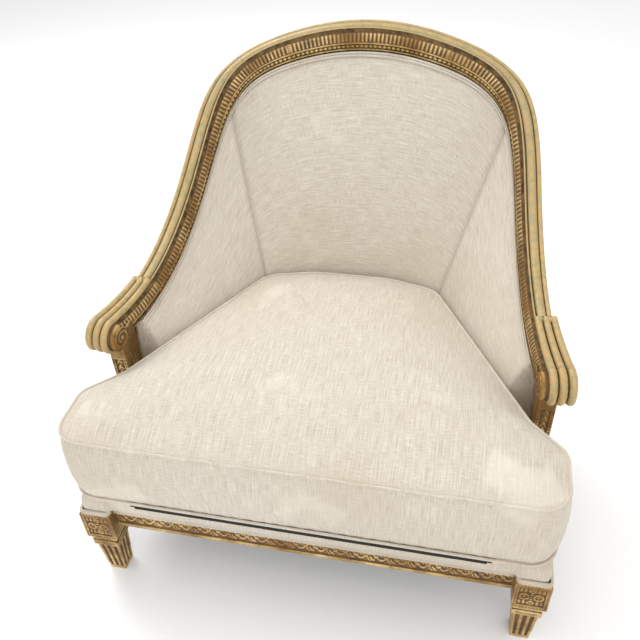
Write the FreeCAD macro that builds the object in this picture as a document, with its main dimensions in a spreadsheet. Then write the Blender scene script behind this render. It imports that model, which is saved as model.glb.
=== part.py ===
"""A low barrel-backed bergere chair in carved, painted and gilded wood, with a loose T-shaped seat cushion.

Millimetres. X runs across the seat, Y from the front to the back, Z up from the floor.
The origin lies on the floor, in the middle of the chair's overall width and depth.
"""
import FreeCAD, Part
import math
import os
import Sketcher
from types import SimpleNamespace

V = FreeCAD.Vector
UP = V(0, 0, 1)
ACROSS = V(1, 0, 0)
FORWARD = V(0, -1, 0)

# Driving sizes. Places along Y are measured back from the front faces of the front leg blocks.
SIZES = (
    ("frame_width", 792, "over the outer faces of the front leg blocks"),
    ("leg_block", 56, "side of the square block at the top of a front leg"),
    ("block_low", 114, "height of the underside of the leg block"),
    ("block_high", 178, "height of the top of the leg block"),
    ("collar_low", 86, "height of the underside of the collar below the block"),
    ("collar_inset", 4, "how far the collar stands in from the block"),
    ("front_foot", 31, "side of the front foot at the floor"),
    ("flute_radius", 4, "radius of a flute in the front leg"),
    ("rosette_frame", 6, "border left round the sunk panel on a leg block"),
    ("rosette_depth", 2.5, "depth of the sunk panel on a leg block"),
    ("rail_low", 131, "height of the underside of the seat rails"),
    ("rail_high", 181, "height of the top of the seat rails"),
    ("rail_thick", 42, "thickness of the seat rails"),
    ("rail_setback", 20, "front rail's face behind the faces of the blocks"),
    ("rail_fillet", 8, "height of the raised fillets along a seat rail"),
    ("rail_relief", 3, "how far the fillets stand out from a seat rail's carved band"),
    ("side_rail_out", 392, "outer face of a side rail at the front block, from the centre line"),
    ("well_back_y", 507, "inside back at seat level, on the centre line"),
    ("well_seam_x", 172, "inside back's upright seam at seat level, from the centre line"),
    ("well_seam_y", 480, "inside back's upright seam at seat level"),
    ("well_post_x", 304, "front end of the inside arm at seat level, from the centre line"),
    ("well_post_y", 240, "front end of the inside arm at seat level"),
    ("seam_turn", 36, "degrees the back has turned outwards at the seam"),
    ("post_turn", 58, "degrees the arm has turned outwards at the arm post"),
    ("back_thick", 75, "inside back to seat rail's outer face, at seat level"),
    ("pad_low", 40, "thickness of the back stuffing at seat level"),
    ("cover_top", 30, "inside back to outside cover, under the top rail"),
    ("pad_top", 10, "thickness of the back stuffing under the top rail"),
    ("upright_to", 360, "height up to which the inside back stands upright"),
    ("back_swell", 16, "swell of the inside back in the middle of a panel, beyond that at its seam"),
    ("seam_swell", 3, "swell of the inside back along its seams"),
    ("crest_y", 701, "groove of the top rail on the centre line"),
    ("crest_z", 782, "height of that groove"),
    ("crown_x", 153, "groove on the crown"),
    ("crown_y", 691, ""),
    ("crown_z", 758, ""),
    ("shoulder_x", 252, "groove on the shoulder"),
    ("shoulder_y", 664, ""),
    ("shoulder_z", 707, ""),
    ("drop_x", 288, "groove below the shoulder"),
    ("drop_y", 604, ""),
    ("drop_z", 636, ""),
    ("fall_x", 303, "groove half way down"),
    ("fall_y", 521, ""),
    ("fall_z", 559, ""),
    ("elbow_x", 331, "groove where the arm rail starts"),
    ("elbow_y", 312, ""),
    ("elbow_z", 456, ""),
    ("tip_x", 348, "groove at the front of the arm rail"),
    ("tip_y", 190, ""),
    ("tip_z", 456, ""),
    ("paint_crest", 35.3, "width of the painted moulding on the back"),
    ("paint_elbow", 29.4, "width of the painted moulding at the elbow"),
    ("arm_wide_elbow", 38, "width of the reeded arm top at the elbow"),
    ("arm_wide_tip", 43, "width of the reeded arm top at the front"),
    ("paint_rise", 6.4, "rise of the painted moulding towards its outer edge"),
    ("gilt_crest", 34.9, "height of the gilt moulding on the back"),
    ("gilt_elbow", 29.3, "height of the gilt moulding at the elbow"),
    ("gilt_lean", 8.9, "how far the gilt moulding steps in towards its lower edge"),
    ("rail_back_depth", 4, "depth of the top rail below the gilt moulding"),
    ("roll_radius", 25, "radius of the rolled front of an arm"),
    ("volute_radius", 19, "radius of the scroll boss beside the roll"),
    ("volute_relief", 2, "how far the scroll boss stands out"),
    ("post_in", 347, "inner face of an arm post from the centre line"),
    ("post_wide", 28, "width of the front of an arm post"),
    ("post_deep", 55, "depth of an arm post"),
    ("post_margin", 6, "side rail's outer face beyond the arm post's"),
    ("post_gap", 2, "inside arm's edge behind the arm post"),
    ("post_border", 6, "border round the sunk panels of an arm post"),
    ("panel_sink", 2, "depth of the sunk panels of an arm post"),
    ("rear_leg", 44, "side of the rear leg at the seat rail"),
    ("rear_foot", 30, "side of the rear foot at the floor"),
    ("rear_splay", 48, "how far the rear foot stands back from the seat rail"),
    ("stile_thick", 20, "thickness at the seat of the upright that carries the top rail"),
    ("stile_wide", 20, "width of that upright"),
    ("stile_clear", 6, "gap between that upright and the outside cover, under the top rail"),
    ("web_thick", 1.6, "thickness of the jute webbing"),
    ("web_wide", 50, "width of a strap of webbing"),
    ("hessian_thick", 0.8, "thickness of the hessian"),
    ("cloth_thick", 1.2, "thickness of the covering fabric"),
    ("rest_gap", 0.3, "clearance between soft pieces and what they lie against"),
    ("rail_gap", 1, "clearance between the upholstery and the top rail's underside"),
    ("deck_high", 236, "height of the platform under the cushion"),
    ("deck_front", 12, "front of the platform"),
    ("deck_round", 36, "how far the platform's edge is rounded down"),
    ("deck_drop", 34, "how far the platform's top falls to that edge"),
    ("deck_half", 386, "side of the platform in front of the arm posts, from the centre line"),
    ("deck_ease", 0.9, "clearance between the platform and the inside of the back and arms"),
    ("ear_gap", 3, "platform's gap in front of the arm posts"),
    ("welt_wide", 10, "width of the double welt"),
    ("welt_thick", 4.4, "thickness of the double welt"),
    ("cushion_front", -3, "front seam of the cushion"),
    ("cushion_half", 388, "side seam of the cushion's ears, from the centre line"),
    ("ear_side", 102, "where the cushion's ear turns in towards the arm"),
    ("cushion_corner", 42, "radius of the cushion's front corners"),
    ("seam_high", 376, "height of the cushion's top seam"),
    ("seam_low", 243, "height of the cushion's bottom seam"),
    ("boxing_swell", 9, "how far the cushion's boxing swells beyond its seams"),
    ("crown_high", 52, "crown of the cushion over its top seam"),
    ("crown_y_middle", 250, "highest point of the crown"),
    ("crown_fall", 2.2, "how the crown falls away: 1 evenly, more towards its edge"),
    ("under_round", 26, "how far the cushion's underside is drawn in from its bottom seam"),
    ("cushion_ease", 5, "cushion's seams inside the well, beyond the swell of the boxing"),
    ("piping", 5, "thickness of the cushion's self piping"),
    ("piping_stand", 0.8, "how far the piping stands off its seam"),
    ("brace_leg", 48, "length of the corner braces' seat on a rail"),
    ("brace_thick", 26, "thickness of a corner brace, measured along a rail"),
    ("brace_high", 30, "height of a corner brace"),
    ("screw_radius", 2.5, "radius of a brace screw"),
    ("screw_head", 5, "radius of a brace screw's head"),
    ("screw_long", 40, "length of a brace screw"),
    ("dowel_radius", 5, "radius of a frame dowel"),
    ("dowel_long", 44, "length of a frame dowel"),
    ("bore_ease", 0.1, "clearance round dowels and screws"),
    ("dust_thick", 0.8, "thickness of the dust cover"),
    ("dust_inset", 9, "dust cover's edge inside the seat rails' outer faces"),
)

doc = FreeCAD.newDocument("bergere_chair")
sheet = doc.addObject("Spreadsheet::Sheet", "sizes")
for row, (name, value, meaning) in enumerate(SIZES, 1):
    sheet.set(f"A{row}", name)
    sheet.set(f"B{row}", str(value))
    sheet.set(f"C{row}", meaning)
    sheet.setAlias(f"B{row}", name)
doc.recompute()
S = SimpleNamespace(**{name: float(getattr(sheet, name)) for name, _, _ in SIZES})

HALF = S.frame_width / 2
OVERALL_BACK = S.crest_y + S.paint_crest
OVERALL_FRONT = S.cushion_front - S.boxing_swell
HOME = V(0, -(OVERALL_BACK + OVERALL_FRONT) / 2, 0)
LEFT_AND_RIGHT = (("left", -1), ("right", 1))

FLATS = 3
CORNER_FLATS = 3
BOW_FLATS = 5
ROLL_FLATS = 7
PEG_SIDES = 8
PIPING_SIDES = 5
BOXING_PARTS = (0.2, 0.5, 0.8)
CROWN_PARTS = (0.94, 0.82, 0.64, 0.4, 0.16)
ROUND_FLATS = 3
GOUGE_SIDES = 6
TINY_AREA = 1e-4
FLAT_ENOUGH = 1e-5

made = []


def keep(item, label):
    """Name a finished sub-part and move it from the front-face datum to the chair's own origin."""
    item.Label = label
    item.Placement = FreeCAD.Placement(HOME, FreeCAD.Rotation())
    made.append(item)
    return item


def solid_part(label, shape):
    """Hold a shape that was worked out in code as a sub-part."""
    item = doc.addObject("Part::Feature", label)
    item.Shape = shape.removeSplitter() if shape.ShapeType == "Solid" else shape
    return keep(item, label)


def mirrored(shape):
    return shape.mirror(V(0, 0, 0), ACROSS)


def on_side(shape, side):
    return shape if side > 0 else mirrored(shape)


def both_sides(name, shape):
    """The same piece, made right-handed, for the left and the right of the chair."""
    for side_name, side in LEFT_AND_RIGHT:
        solid_part(f"{name}_{side_name}", on_side(shape, side))


def triangle(*corners):
    """A flat three-cornered face, or nothing where two corners fall together."""
    first, second, third = corners
    if (second - first).cross(third - first).Length < TINY_AREA:
        return []
    return [Part.Face(Part.makePolygon([first, second, third, first]))]


def end_faces(ring):
    """The end of a solid: one flat face, or a strip of triangles where a thin section is bent."""
    first = ring[0]
    normals = [(ring[n] - first).cross(ring[n + 1] - first) for n in range(1, len(ring) - 1)]
    normal = max(normals, key=lambda way: way.Length).normalize()
    if all(abs((corner - first).dot(normal)) < FLAT_ENOUGH for corner in ring):
        return [Part.Face(Part.makePolygon(ring + ring[:1]))]
    rungs = [(ring[n], ring[-1 - n]) for n in range(len(ring) // 2)]
    faces = []
    for (a, b), (c, d) in zip(rungs, rungs[1:]):
        faces += triangle(a, b, d) + triangle(a, d, c)
    return faces


def flat_faced(rings, joined=False):
    """A solid with flat faces between rings of corners. Its diagonals all rise from one ring to the next."""
    pairs = list(zip(rings, rings[1:]))
    if joined:
        pairs.append((rings[-1], rings[0]))
    faces = []
    for near, far in pairs:
        for number in range(len(near)):
            a, b, c, d = near[number - 1], near[number], far[number], far[number - 1]
            if a.z <= b.z:
                faces += triangle(a, b, c) + triangle(a, c, d)
            else:
                faces += triangle(a, b, d) + triangle(b, c, d)
    if not joined:
        faces += end_faces(rings[0]) + end_faces(rings[-1])
    shell = Part.Shell(faces)
    shell.sewShape()
    solid = Part.Solid(shell)
    if solid.Volume < 0:
        solid.reverse()
    return solid.removeSplitter()


def carved_ring(frame, start, steps):
    """Corners of a rail's section: each arc is carved as a few narrow flats."""
    points = [start]
    for step in steps:
        if isinstance(step[0], tuple):
            arc = Part.Arc(V(*points[-1], 0), V(*step[0], 0), V(*step[1], 0)).toShape()
            points += [(p.x, p.y) for p in arc.discretize(FLATS + 1)[1:]]
        else:
            points.append(step)
    return [in_frame(frame, *point) for point in points]


def biggest(shape):
    return max(shape.Solids, key=lambda solid: solid.Volume)


def loft(wires, ruled=False):
    return Part.makeLoft(wires, True, ruled)


# The top rail's line: the groove between its painted and its gilt moulding.
def rail_curve():
    half = [V(0, S.crest_y, S.crest_z)]
    for place in ("crown", "shoulder", "drop", "fall", "elbow", "tip"):
        half.append(V(*(getattr(S, f"{place}_{axis}") for axis in "xyz")))
    whole = [V(-p.x, p.y, p.z) for p in reversed(half[1:])] + half
    curve = Part.BSplineCurve()
    curve.interpolate(Points=whole)
    return curve


RAIL = rail_curve()
AT_CREST = (RAIL.FirstParameter + RAIL.LastParameter) / 2
AT_TIP = RAIL.LastParameter
AT_ELBOW = RAIL.parameter(V(S.elbow_x, S.elbow_y, S.elbow_z))
AT_JOINT = RAIL.parameter(V(S.crown_x, S.crown_y, S.crown_z))


def rail_frame(at):
    """Point on the groove with its directions along, outwards (level) and upwards."""
    along = RAIL.tangent(at)[0]
    out = V(-along.y, along.x, 0).normalize()
    return SimpleNamespace(point=RAIL.value(at), along=along, out=out, up=along.cross(out))


def spread(start, end, count):
    return [start + (end - start) * n / (count - 1) for n in range(count)]


def share(at):
    """0 on the crest, 1 at the elbow and along the arm."""
    return min(1.0, abs(at - AT_CREST) / (AT_ELBOW - AT_CREST))


def between(low, high, part):
    return low + (high - low) * part


def gilt_height(at):
    return between(S.gilt_crest, S.gilt_elbow, share(at))


def in_frame(frame, out, up):
    return frame.point + frame.out * out + frame.up * up


def rail_profile(at, top):
    """Section of the rail: the given top moulding, outer side, underside, then the gilt moulding."""
    gilt = gilt_height(at)
    width = top[-1][1][0]
    lower = -gilt - S.rail_back_depth
    body = [
        (width, -0.62 * gilt),
        ((width - 2, lower + 3), (width - 8, lower)),
        (2, lower),
        (0, -gilt),
        (-S.gilt_lean, -gilt),
        (-S.gilt_lean - 0.6, -0.93 * gilt),
        ((-0.55 * S.gilt_lean, -0.82 * gilt), (-0.92 * S.gilt_lean, -0.70 * gilt)),
        (-0.92 * S.gilt_lean, -0.62 * gilt),
        ((-0.72 * S.gilt_lean, -0.36 * gilt), (-0.25 * S.gilt_lean, -0.13 * gilt)),
        (-0.2 * S.gilt_lean, -0.05 * gilt),
    ]
    return carved_ring(rail_frame(at), (1, -3), top + body)


def painted_top(at):
    """The painted moulding of the back: a fillet, a broad round, a quirk and an outer round."""
    wide = between(S.paint_crest, S.paint_elbow, share(at))
    rise = S.paint_rise
    return [
        (0.07 * wide, 0.3 * rise),
        (0.18 * wide, 0.4 * rise),
        (0.21 * wide, 0.1 * rise),
        ((0.46 * wide, 1.05 * rise), (0.72 * wide, 0.62 * rise)),
        (0.76 * wide, 0.4 * rise),
        ((0.9 * wide, 1.15 * rise), (wide, 0.45 * rise)),
    ]


def reeded_top(at):
    """The arm's top: three reeds with a flute between each two."""
    along_arm = (at - AT_ELBOW) / (AT_TIP - AT_ELBOW)
    wide = between(S.arm_wide_elbow, S.arm_wide_tip, along_arm)
    start = 2.0
    reed = (wide - start) / 3.4
    flute = 0.2 * reed
    height = S.paint_rise
    steps = [(start, 0.2 * height)]
    left = start
    for number in range(3):
        steps.append(((left + reed / 2, height + 0.15 * reed), (left + reed, 0.2 * height)))
        left += reed
        if number < 2:
            steps.append((left + flute, 0.2 * height))
            left += flute
    return steps


def rail_piece(start, end, count, top):
    """A length of the rail between two places along its line."""
    return flat_faced([rail_profile(at, top(at)) for at in spread(start, end, count)])


def rolled_front():
    """The arm's rolled end: its reeded section turned down about a level axis, with a scroll boss."""
    frame = rail_frame(AT_TIP)
    radius = S.roll_radius
    top = reeded_top(AT_TIP)
    width = top[-1][1][0]
    inner = -0.92 * S.gilt_lean
    ring = carved_ring(frame, (inner, 0), top + [(width, -radius), (inner, -radius)])
    axis = in_frame(frame, 0, -radius)
    way = frame.up.cross(frame.along)
    turns = [FreeCAD.Rotation(way, angle) for angle in spread(0, 180, ROLL_FLATS + 1)]
    drum = flat_faced([[axis + turn.multVec(corner - axis) for corner in ring] for turn in turns])
    boss_at = in_frame(frame, inner - S.volute_relief, -radius)
    boss = Part.makeCylinder(S.volute_radius, 12, boss_at, frame.out)
    return drum.fuse(boss)


def arm_shape():
    body = rail_piece(AT_ELBOW, AT_TIP, 6, reeded_top)
    return body.fuse(rolled_front()).removeSplitter()


# Upright sections of the back and arms, from the seat level to the top rail.
def meet_rail(base, turn):
    """Parameter where a level line from base, turned outwards by that angle, passes under the rail."""
    facing = V(math.sin(math.radians(turn)), math.cos(math.radians(turn)), 0)
    low = AT_CREST
    high = AT_TIP
    for _ in range(50):
        middle = (low + high) / 2
        frame = rail_frame(middle)
        hit = in_frame(frame, pad_edge(), 0)
        offset = V(hit.x - base.x, hit.y - base.y, 0)
        if offset.cross(facing).z < 0:
            low = middle
        else:
            high = middle
    return middle


def pad_edge():
    """The stuffing's front, out from the groove, where it meets the gilt moulding's lower edge."""
    return -S.gilt_lean + 4


def upright(base, turn, swell):
    """One upright section: its foot, its way out and its place under the top rail."""
    at = meet_rail(base, turn) if turn else AT_CREST
    frame = rail_frame(at)
    lower = -gilt_height(at) - S.rail_back_depth - S.rail_gap
    head = in_frame(frame, pad_edge(), lower)
    out = V(head.x - base.x, head.y - base.y, 0).normalize()
    return SimpleNamespace(base=base, out=out, head=head, swell=swell, room=1.0, inward=-out)


def post_section():
    """Last upright section of an arm panel, where its edge turns in behind the arm post."""
    behind = S.tip_y + S.post_deep + S.post_gap
    low = AT_ELBOW
    high = AT_TIP
    for _ in range(50):
        middle = (low + high) / 2
        frame = rail_frame(middle)
        head = in_frame(frame, pad_edge(), -gilt_height(middle) - S.rail_back_depth - S.rail_gap)
        if head.y > behind:
            low = middle
        else:
            high = middle
    base = V(S.post_in - S.post_gap, head.y, 0)
    room = (S.post_in + S.post_wide - base.x) / S.back_thick
    inward = V(-1, -2, 0).normalize()
    return SimpleNamespace(base=base, out=ACROSS, head=head, swell=S.seam_swell, room=room, inward=inward)


def flip(section):
    """The same upright section on the other side of the chair."""
    def turn_over(p):
        return V(-p.x, p.y, p.z)
    return SimpleNamespace(base=turn_over(section.base), out=turn_over(section.out),
                           head=turn_over(section.head), swell=section.swell, room=section.room,
                           inward=turn_over(section.inward))


def back_section(part):
    """Upright section of the back panel, from the centre line at 0 to the seam at 1."""
    x = S.well_seam_x * part
    y = S.well_back_y - (S.well_back_y - S.well_seam_y) * part ** 2
    return upright(V(x, y, 0), S.seam_turn * part, S.seam_swell + S.back_swell * (1 - part ** 2))


def side_section(part):
    """Upright section of the arm panel, from the seam at 0 to the arm post at 1."""
    x = between(S.well_seam_x, S.well_post_x, part)
    y = between(S.well_seam_y, S.well_post_y, part)
    turn = between(S.seam_turn, S.post_turn, part)
    return upright(V(x, y, 0), turn, S.seam_swell + S.back_swell * 2 * part * (1 - part))


BACK_HALF = [back_section(part) for part in spread(0, 1, 6)]
BACK = [flip(section) for section in reversed(BACK_HALF[1:])] + BACK_HALF
SIDE = [side_section(part) for part in spread(0, 1, 7)]
PANEL_SIDE = SIDE + [post_section()]
STUFF_LOW = S.rail_high + S.web_thick * 2 + S.hessian_thick + 4 * S.rest_gap


def face_curve(section):
    """The bowed part of the inside surface, from its knee up to the top rail."""
    knee = section.base + UP * S.upright_to
    bow = [(t, 4 * t * (1 - t)) for t in spread(0, 1, BOW_FLATS + 1)]
    return [between(knee, section.head, t) - section.out * (section.swell * rise) for t, rise in bow]


def layer(section, low_in, low_out, top_in, top_out, low=STUFF_LOW, bowed=False):
    """Section of one layer of the back, between two distances out from the inside surface."""
    foot = section.base + UP * low
    low_in, low_out = low_in * section.room, low_out * section.room
    outer = [section.head + section.out * top_out, foot + section.out * low_out]
    if bowed:
        return [foot] + face_curve(section) + outer
    return [foot + section.out * low_in, section.head + section.out * top_in] + outer


def skin_section(section):
    """Section of the covering fabric on the inside surface."""
    back = [section.base + UP * STUFF_LOW] + face_curve(section)
    return [point + section.inward * S.cloth_thick for point in back] + list(reversed(back))


def layered(sections, low_in, low_out, top_in, top_out, **options):
    return flat_faced([layer(section, low_in, low_out, top_in, top_out, **options) for section in sections])


HESSIAN_IN = (S.pad_low + S.rest_gap, S.pad_top + S.rest_gap)
WEB_IN = (HESSIAN_IN[0] + S.hessian_thick + S.rest_gap, HESSIAN_IN[1] + S.hessian_thick + S.rest_gap)
STILE_IN = (WEB_IN[0] + S.web_thick + S.rest_gap, WEB_IN[1] + S.web_thick + S.rest_gap)
COVER_OUT = (S.back_thick, S.cover_top)


# Seat plan: the line of the seat rails' outer faces, right half from the centre line to the front.
def rail_stations(sections):
    return [(section.base, section.out) for section in sections]


POST_OUT = S.post_in + S.post_wide
FRONT_STATIONS = [(V(between(POST_OUT + S.post_margin, S.side_rail_out, part) - S.back_thick,
                     between(S.tip_y, S.leg_block, part), 0), ACROSS) for part in spread(0, 1, 3)]
SIDE_STATIONS = rail_stations(SIDE) + FRONT_STATIONS


def seat_rail_section(station):
    """Section of a side or rear seat rail, with a fillet along its top and bottom edges."""
    base, out = station
    face = S.back_thick
    band = face - S.rail_relief
    edge = S.rail_fillet

    def put(distance, height):
        return base + out * distance + UP * height
    return [put(face - S.rail_thick, S.rail_low), put(face, S.rail_low),
            put(face, S.rail_low + edge), put(band, S.rail_low + edge + 2),
            put(band, S.rail_high - edge - 2), put(face, S.rail_high - edge),
            put(face, S.rail_high), put(face - S.rail_thick, S.rail_high)]


def platform_face(inset, low):
    """The seat's plan inside the rails' outer faces, as a level face."""
    right = [base + out * (S.back_thick - inset) for base, out in
             rail_stations(BACK_HALF) + SIDE_STATIONS[1:]]
    right[-1].y = S.rail_setback + inset
    left = [V(-p.x, p.y, 0) for p in reversed(right[1:])]
    face = Part.Face(Part.makePolygon(left + right + left[:1]))
    face.translate(UP * low)
    return face


# Rear legs: a splayed foot, a square block at the rails and an upright under the top rail.
def rear_leg_shape():
    section = BACK_HALF[-1]
    side_way = UP.cross(section.out)

    def square(middle, out_half, side_half):
        corners = [(-1, -1), (1, -1), (1, 1), (-1, 1)]
        points = [middle + section.out * (a * out_half) + side_way * (b * side_half) for a, b in corners]
        return Part.makePolygon(points + [points[0]])

    block_middle = section.base + section.out * (S.back_thick - S.rear_leg / 2)
    foot_middle = block_middle + section.out * S.rear_splay
    lower = loft([square(foot_middle, S.rear_foot / 2, S.rear_foot / 2),
                  square(block_middle + UP * S.rail_low, S.rear_leg / 2, S.rear_leg / 2)], True)
    block = loft([square(block_middle + UP * S.rail_low, S.rear_leg / 2, S.rear_leg / 2),
                  square(block_middle + UP * S.rail_high, S.rear_leg / 2, S.rear_leg / 2)], True)
    top_thick = COVER_OUT[1] - S.cloth_thick - S.stile_clear - STILE_IN[1]
    low_middle = section.base + section.out * (STILE_IN[0] + S.stile_thick / 2) + UP * S.rail_high
    top_middle = section.head + section.out * (STILE_IN[1] + top_thick / 2)
    beyond = (top_middle - low_middle) * 0.04
    stile = loft([square(low_middle, S.stile_thick / 2, S.stile_wide / 2),
                  square(top_middle, top_thick / 2, S.stile_wide / 2),
                  square(top_middle + beyond, top_thick / 2, S.stile_wide / 2)], True)
    return lower.fuse([block, stile]).removeSplitter()


# Wooden frame.
crest = rail_piece(2 * AT_CREST - AT_JOINT, AT_JOINT, 9, painted_top)
shoulder = rail_piece(AT_JOINT, AT_ELBOW, 10, painted_top)
arm = arm_shape()
TOP_RAILS = [crest, shoulder, mirrored(shoulder), arm, mirrored(arm)]
rear_leg = biggest(rear_leg_shape().cut(shoulder))


def dowels_at(at, places):
    """Dowels along the rail, across the joint at that place."""
    frame = rail_frame(at)
    pins = []
    for out, up in places:
        start = in_frame(frame, out, up) - frame.along * (S.dowel_long / 2)
        pins.append((start, frame.along))
    return pins


def prism(start, way, stages, sides=PEG_SIDES):
    """A many-sided pin: stages are pairs of a distance along its way and its radius there."""
    across = way.cross(UP if abs(way.z) < 0.9 else ACROSS).normalize()
    third = way.cross(across)
    turns = [2 * math.pi * (number + 0.5) / sides for number in range(sides)]
    return flat_faced([[start + way * along + (across * math.cos(a) + third * math.sin(a)) * radius
                        for a in turns] for along, radius in stages])


def pin_solids(pins, ease=0.0):
    """Eight-sided pegs, or the holes for them."""
    radius = S.dowel_radius + ease
    return [prism(start, way.normalize(), ((0, radius), (S.dowel_long, radius))) for start, way in pins]


JOINT_PLACES = ((9, -0.5 * S.gilt_crest), (25, -0.5 * S.gilt_crest))
ARM_PLACES = ((7, -0.55 * S.gilt_elbow), (20, -0.5 * S.gilt_elbow))
crest_pins = dowels_at(AT_JOINT, JOINT_PLACES)
arm_pins = dowels_at(AT_ELBOW, ARM_PLACES)

crest_bores = pin_solids(crest_pins, S.bore_ease)
crest = crest.cut(crest_bores + [mirrored(bore) for bore in crest_bores])
shoulder = shoulder.cut(crest_bores + pin_solids(arm_pins, S.bore_ease))
arm = arm.cut(pin_solids(arm_pins, S.bore_ease))

solid_part("crest_rail", crest)
both_sides("shoulder_rail", shoulder)
both_sides("arm_rail", arm)


# Pieces drawn as sketches and padded.
def new_body(name):
    return doc.addObject("PartDesign::Body", name)


def plane_of(body, role):
    return next(item for item in body.Origin.OriginFeatures if item.Role == role)


def rectangle(body, name, plane, values, offset=0.0, turned=None):
    """A rectangle bound to the sheet: values are the expressions for its left, low, width and height."""
    sketch = body.newObject("Sketcher::SketchObject", name)
    sketch.AttachmentSupport = [(plane_of(body, plane), "")]
    sketch.MapMode = "FlatFace"
    corners = [V(0, 0), V(1, 0), V(1, 1), V(0, 1)]
    for number in range(4):
        sketch.addGeometry(Part.LineSegment(corners[number], corners[(number + 1) % 4]), False)
    for number in range(4):
        sketch.addConstraint(Sketcher.Constraint("Coincident", number, 2, (number + 1) % 4, 1))
    for number in (0, 2):
        sketch.addConstraint(Sketcher.Constraint("Horizontal", number))
    for number in (1, 3):
        sketch.addConstraint(Sketcher.Constraint("Vertical", number))
    left, low, width, height = values
    dimensions = (("DistanceX", (-1, 1, 0, 1), left), ("DistanceY", (-1, 1, 0, 1), low),
                  ("DistanceX", (0, 1, 0, 2), width), ("DistanceY", (1, 1, 1, 2), height))
    for kind, points, expression in dimensions:
        index = sketch.addConstraint(Sketcher.Constraint(kind, *points, 1.0))
        sketch.setExpression(f"Constraints[{index}]", expression)
    if offset:
        sketch.setExpression(".AttachmentOffset.Base.z", offset)
    return sketch


def pad(body, name, sketch, length, pocket=False, reverse=False):
    feature = body.newObject("PartDesign::Pocket" if pocket else "PartDesign::Pad", name)
    feature.Profile = sketch
    feature.setExpression("Length", length)
    feature.Reversed = reverse
    sketch.Visibility = False
    return feature


def front_leg(name):
    """Right front leg: a square block, a collar and a square taper."""
    body = new_body(name)
    block = rectangle(body, f"{name}_block_plan", "XY_Plane",
                      ("sizes.frame_width / 2 - sizes.leg_block", "0", "sizes.leg_block", "sizes.leg_block"),
                      "sizes.block_low")
    pad(body, f"{name}_block", block, "sizes.block_high - sizes.block_low")
    collar_side = "sizes.leg_block - 2 * sizes.collar_inset"
    collar = rectangle(body, f"{name}_collar_plan", "XY_Plane",
                       ("sizes.frame_width / 2 - sizes.leg_block + sizes.collar_inset",
                        "sizes.collar_inset", collar_side, collar_side), "sizes.collar_low")
    pad(body, f"{name}_collar", collar, "sizes.block_low - sizes.collar_low")
    foot_in = "(sizes.leg_block - sizes.front_foot) / 2"
    neck_in = "sizes.collar_inset * 1.75"
    neck = rectangle(body, f"{name}_neck_plan", "XY_Plane",
                     (f"sizes.frame_width / 2 - sizes.leg_block + {neck_in}", neck_in,
                      f"sizes.leg_block - 2 * {neck_in}", f"sizes.leg_block - 2 * {neck_in}"),
                     "sizes.collar_low")
    foot = rectangle(body, f"{name}_foot_plan", "XY_Plane",
                     (f"sizes.frame_width / 2 - sizes.leg_block + {foot_in}", foot_in,
                      "sizes.front_foot", "sizes.front_foot"))
    doc.recompute()
    taper = body.newObject("PartDesign::AdditiveLoft", f"{name}_taper")
    taper.Profile = neck
    taper.Sections = [foot]
    taper.Ruled = True
    body.Tip = taper
    doc.recompute()
    return body


def gouge(low, top, low_radius, top_radius, across, way):
    """A tapering gouge cut with flats, from a low point to a top point."""
    turns = [2 * math.pi * (number + 0.5) / GOUGE_SIDES for number in range(GOUGE_SIDES)]
    return flat_faced([[middle + across * (radius * math.cos(a)) + way * (radius * math.sin(a)) for a in turns]
                       for middle, radius in ((low, low_radius), (top, top_radius))])


def flute_cuts():
    """Tapering flutes, three on each face of a front leg's taper."""
    middle = V(HALF - S.leg_block / 2, S.leg_block / 2, 0)
    neck_half = S.leg_block / 2 - 1.75 * S.collar_inset
    foot_half = S.front_foot / 2
    tools = []
    for face in range(4):
        way = V(math.cos(face * math.pi / 2), math.sin(face * math.pi / 2), 0)
        sideways = UP.cross(way)
        for column in (-1, 0, 1):
            spacing = 0.6
            top = middle + way * neck_half + sideways * (column * spacing * neck_half) + UP * (S.collar_low - 7)
            low = middle + way * foot_half + sideways * (column * spacing * foot_half) + UP * 8
            tools.append(gouge(low, top, 0.62 * S.flute_radius, S.flute_radius, sideways, way))
    return tools


def block_panels():
    """Sunk panels for the carved rosettes on the block's front and outer faces."""
    side = S.leg_block - 2 * S.rosette_frame
    high = S.block_high - S.block_low - 2 * S.rosette_frame
    low = S.block_low + S.rosette_frame
    inner = HALF - S.leg_block + S.rosette_frame
    front = Part.makeBox(side, 2 * S.rosette_depth, high, V(inner, -S.rosette_depth, low))
    outer = Part.makeBox(2 * S.rosette_depth, side, high, V(HALF - S.rosette_depth, S.rosette_frame, low))
    return [front, outer]


collar_groove_high = (S.block_low - S.collar_low) / 2


def collar_groove():
    """The groove round the middle of the collar, which leaves two fillets."""
    side = S.leg_block - 2 * S.collar_inset
    corner = V(HALF - S.leg_block + S.collar_inset, S.collar_inset, S.collar_low)
    groove = 3.0
    depth = 2.0
    outer = Part.makeBox(side + 2, side + 2, groove, corner + V(-1, -1, collar_groove_high - groove / 2))
    inner = Part.makeBox(side - 2 * depth, side - 2 * depth, groove,
                         corner + V(depth, depth, collar_groove_high - groove / 2))
    return outer.cut(inner)


leg_body = front_leg("front_leg_stock")
front_leg_shape = leg_body.Shape.cut(flute_cuts() + block_panels() + [collar_groove()])
both_sides("front_leg", front_leg_shape)


def arm_post():
    """Right arm post, its sunk panels on the front and on the inner side."""
    body = new_body("arm_post_stock")
    plan = rectangle(body, "post_plan", "XY_Plane",
                     ("sizes.post_in", "sizes.tip_y", "sizes.post_wide", "sizes.post_deep"),
                     "sizes.rail_high")
    pad(body, "post_stock", plan, "sizes.tip_z - sizes.rail_high")
    doc.recompute()
    return body.Shape


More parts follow.
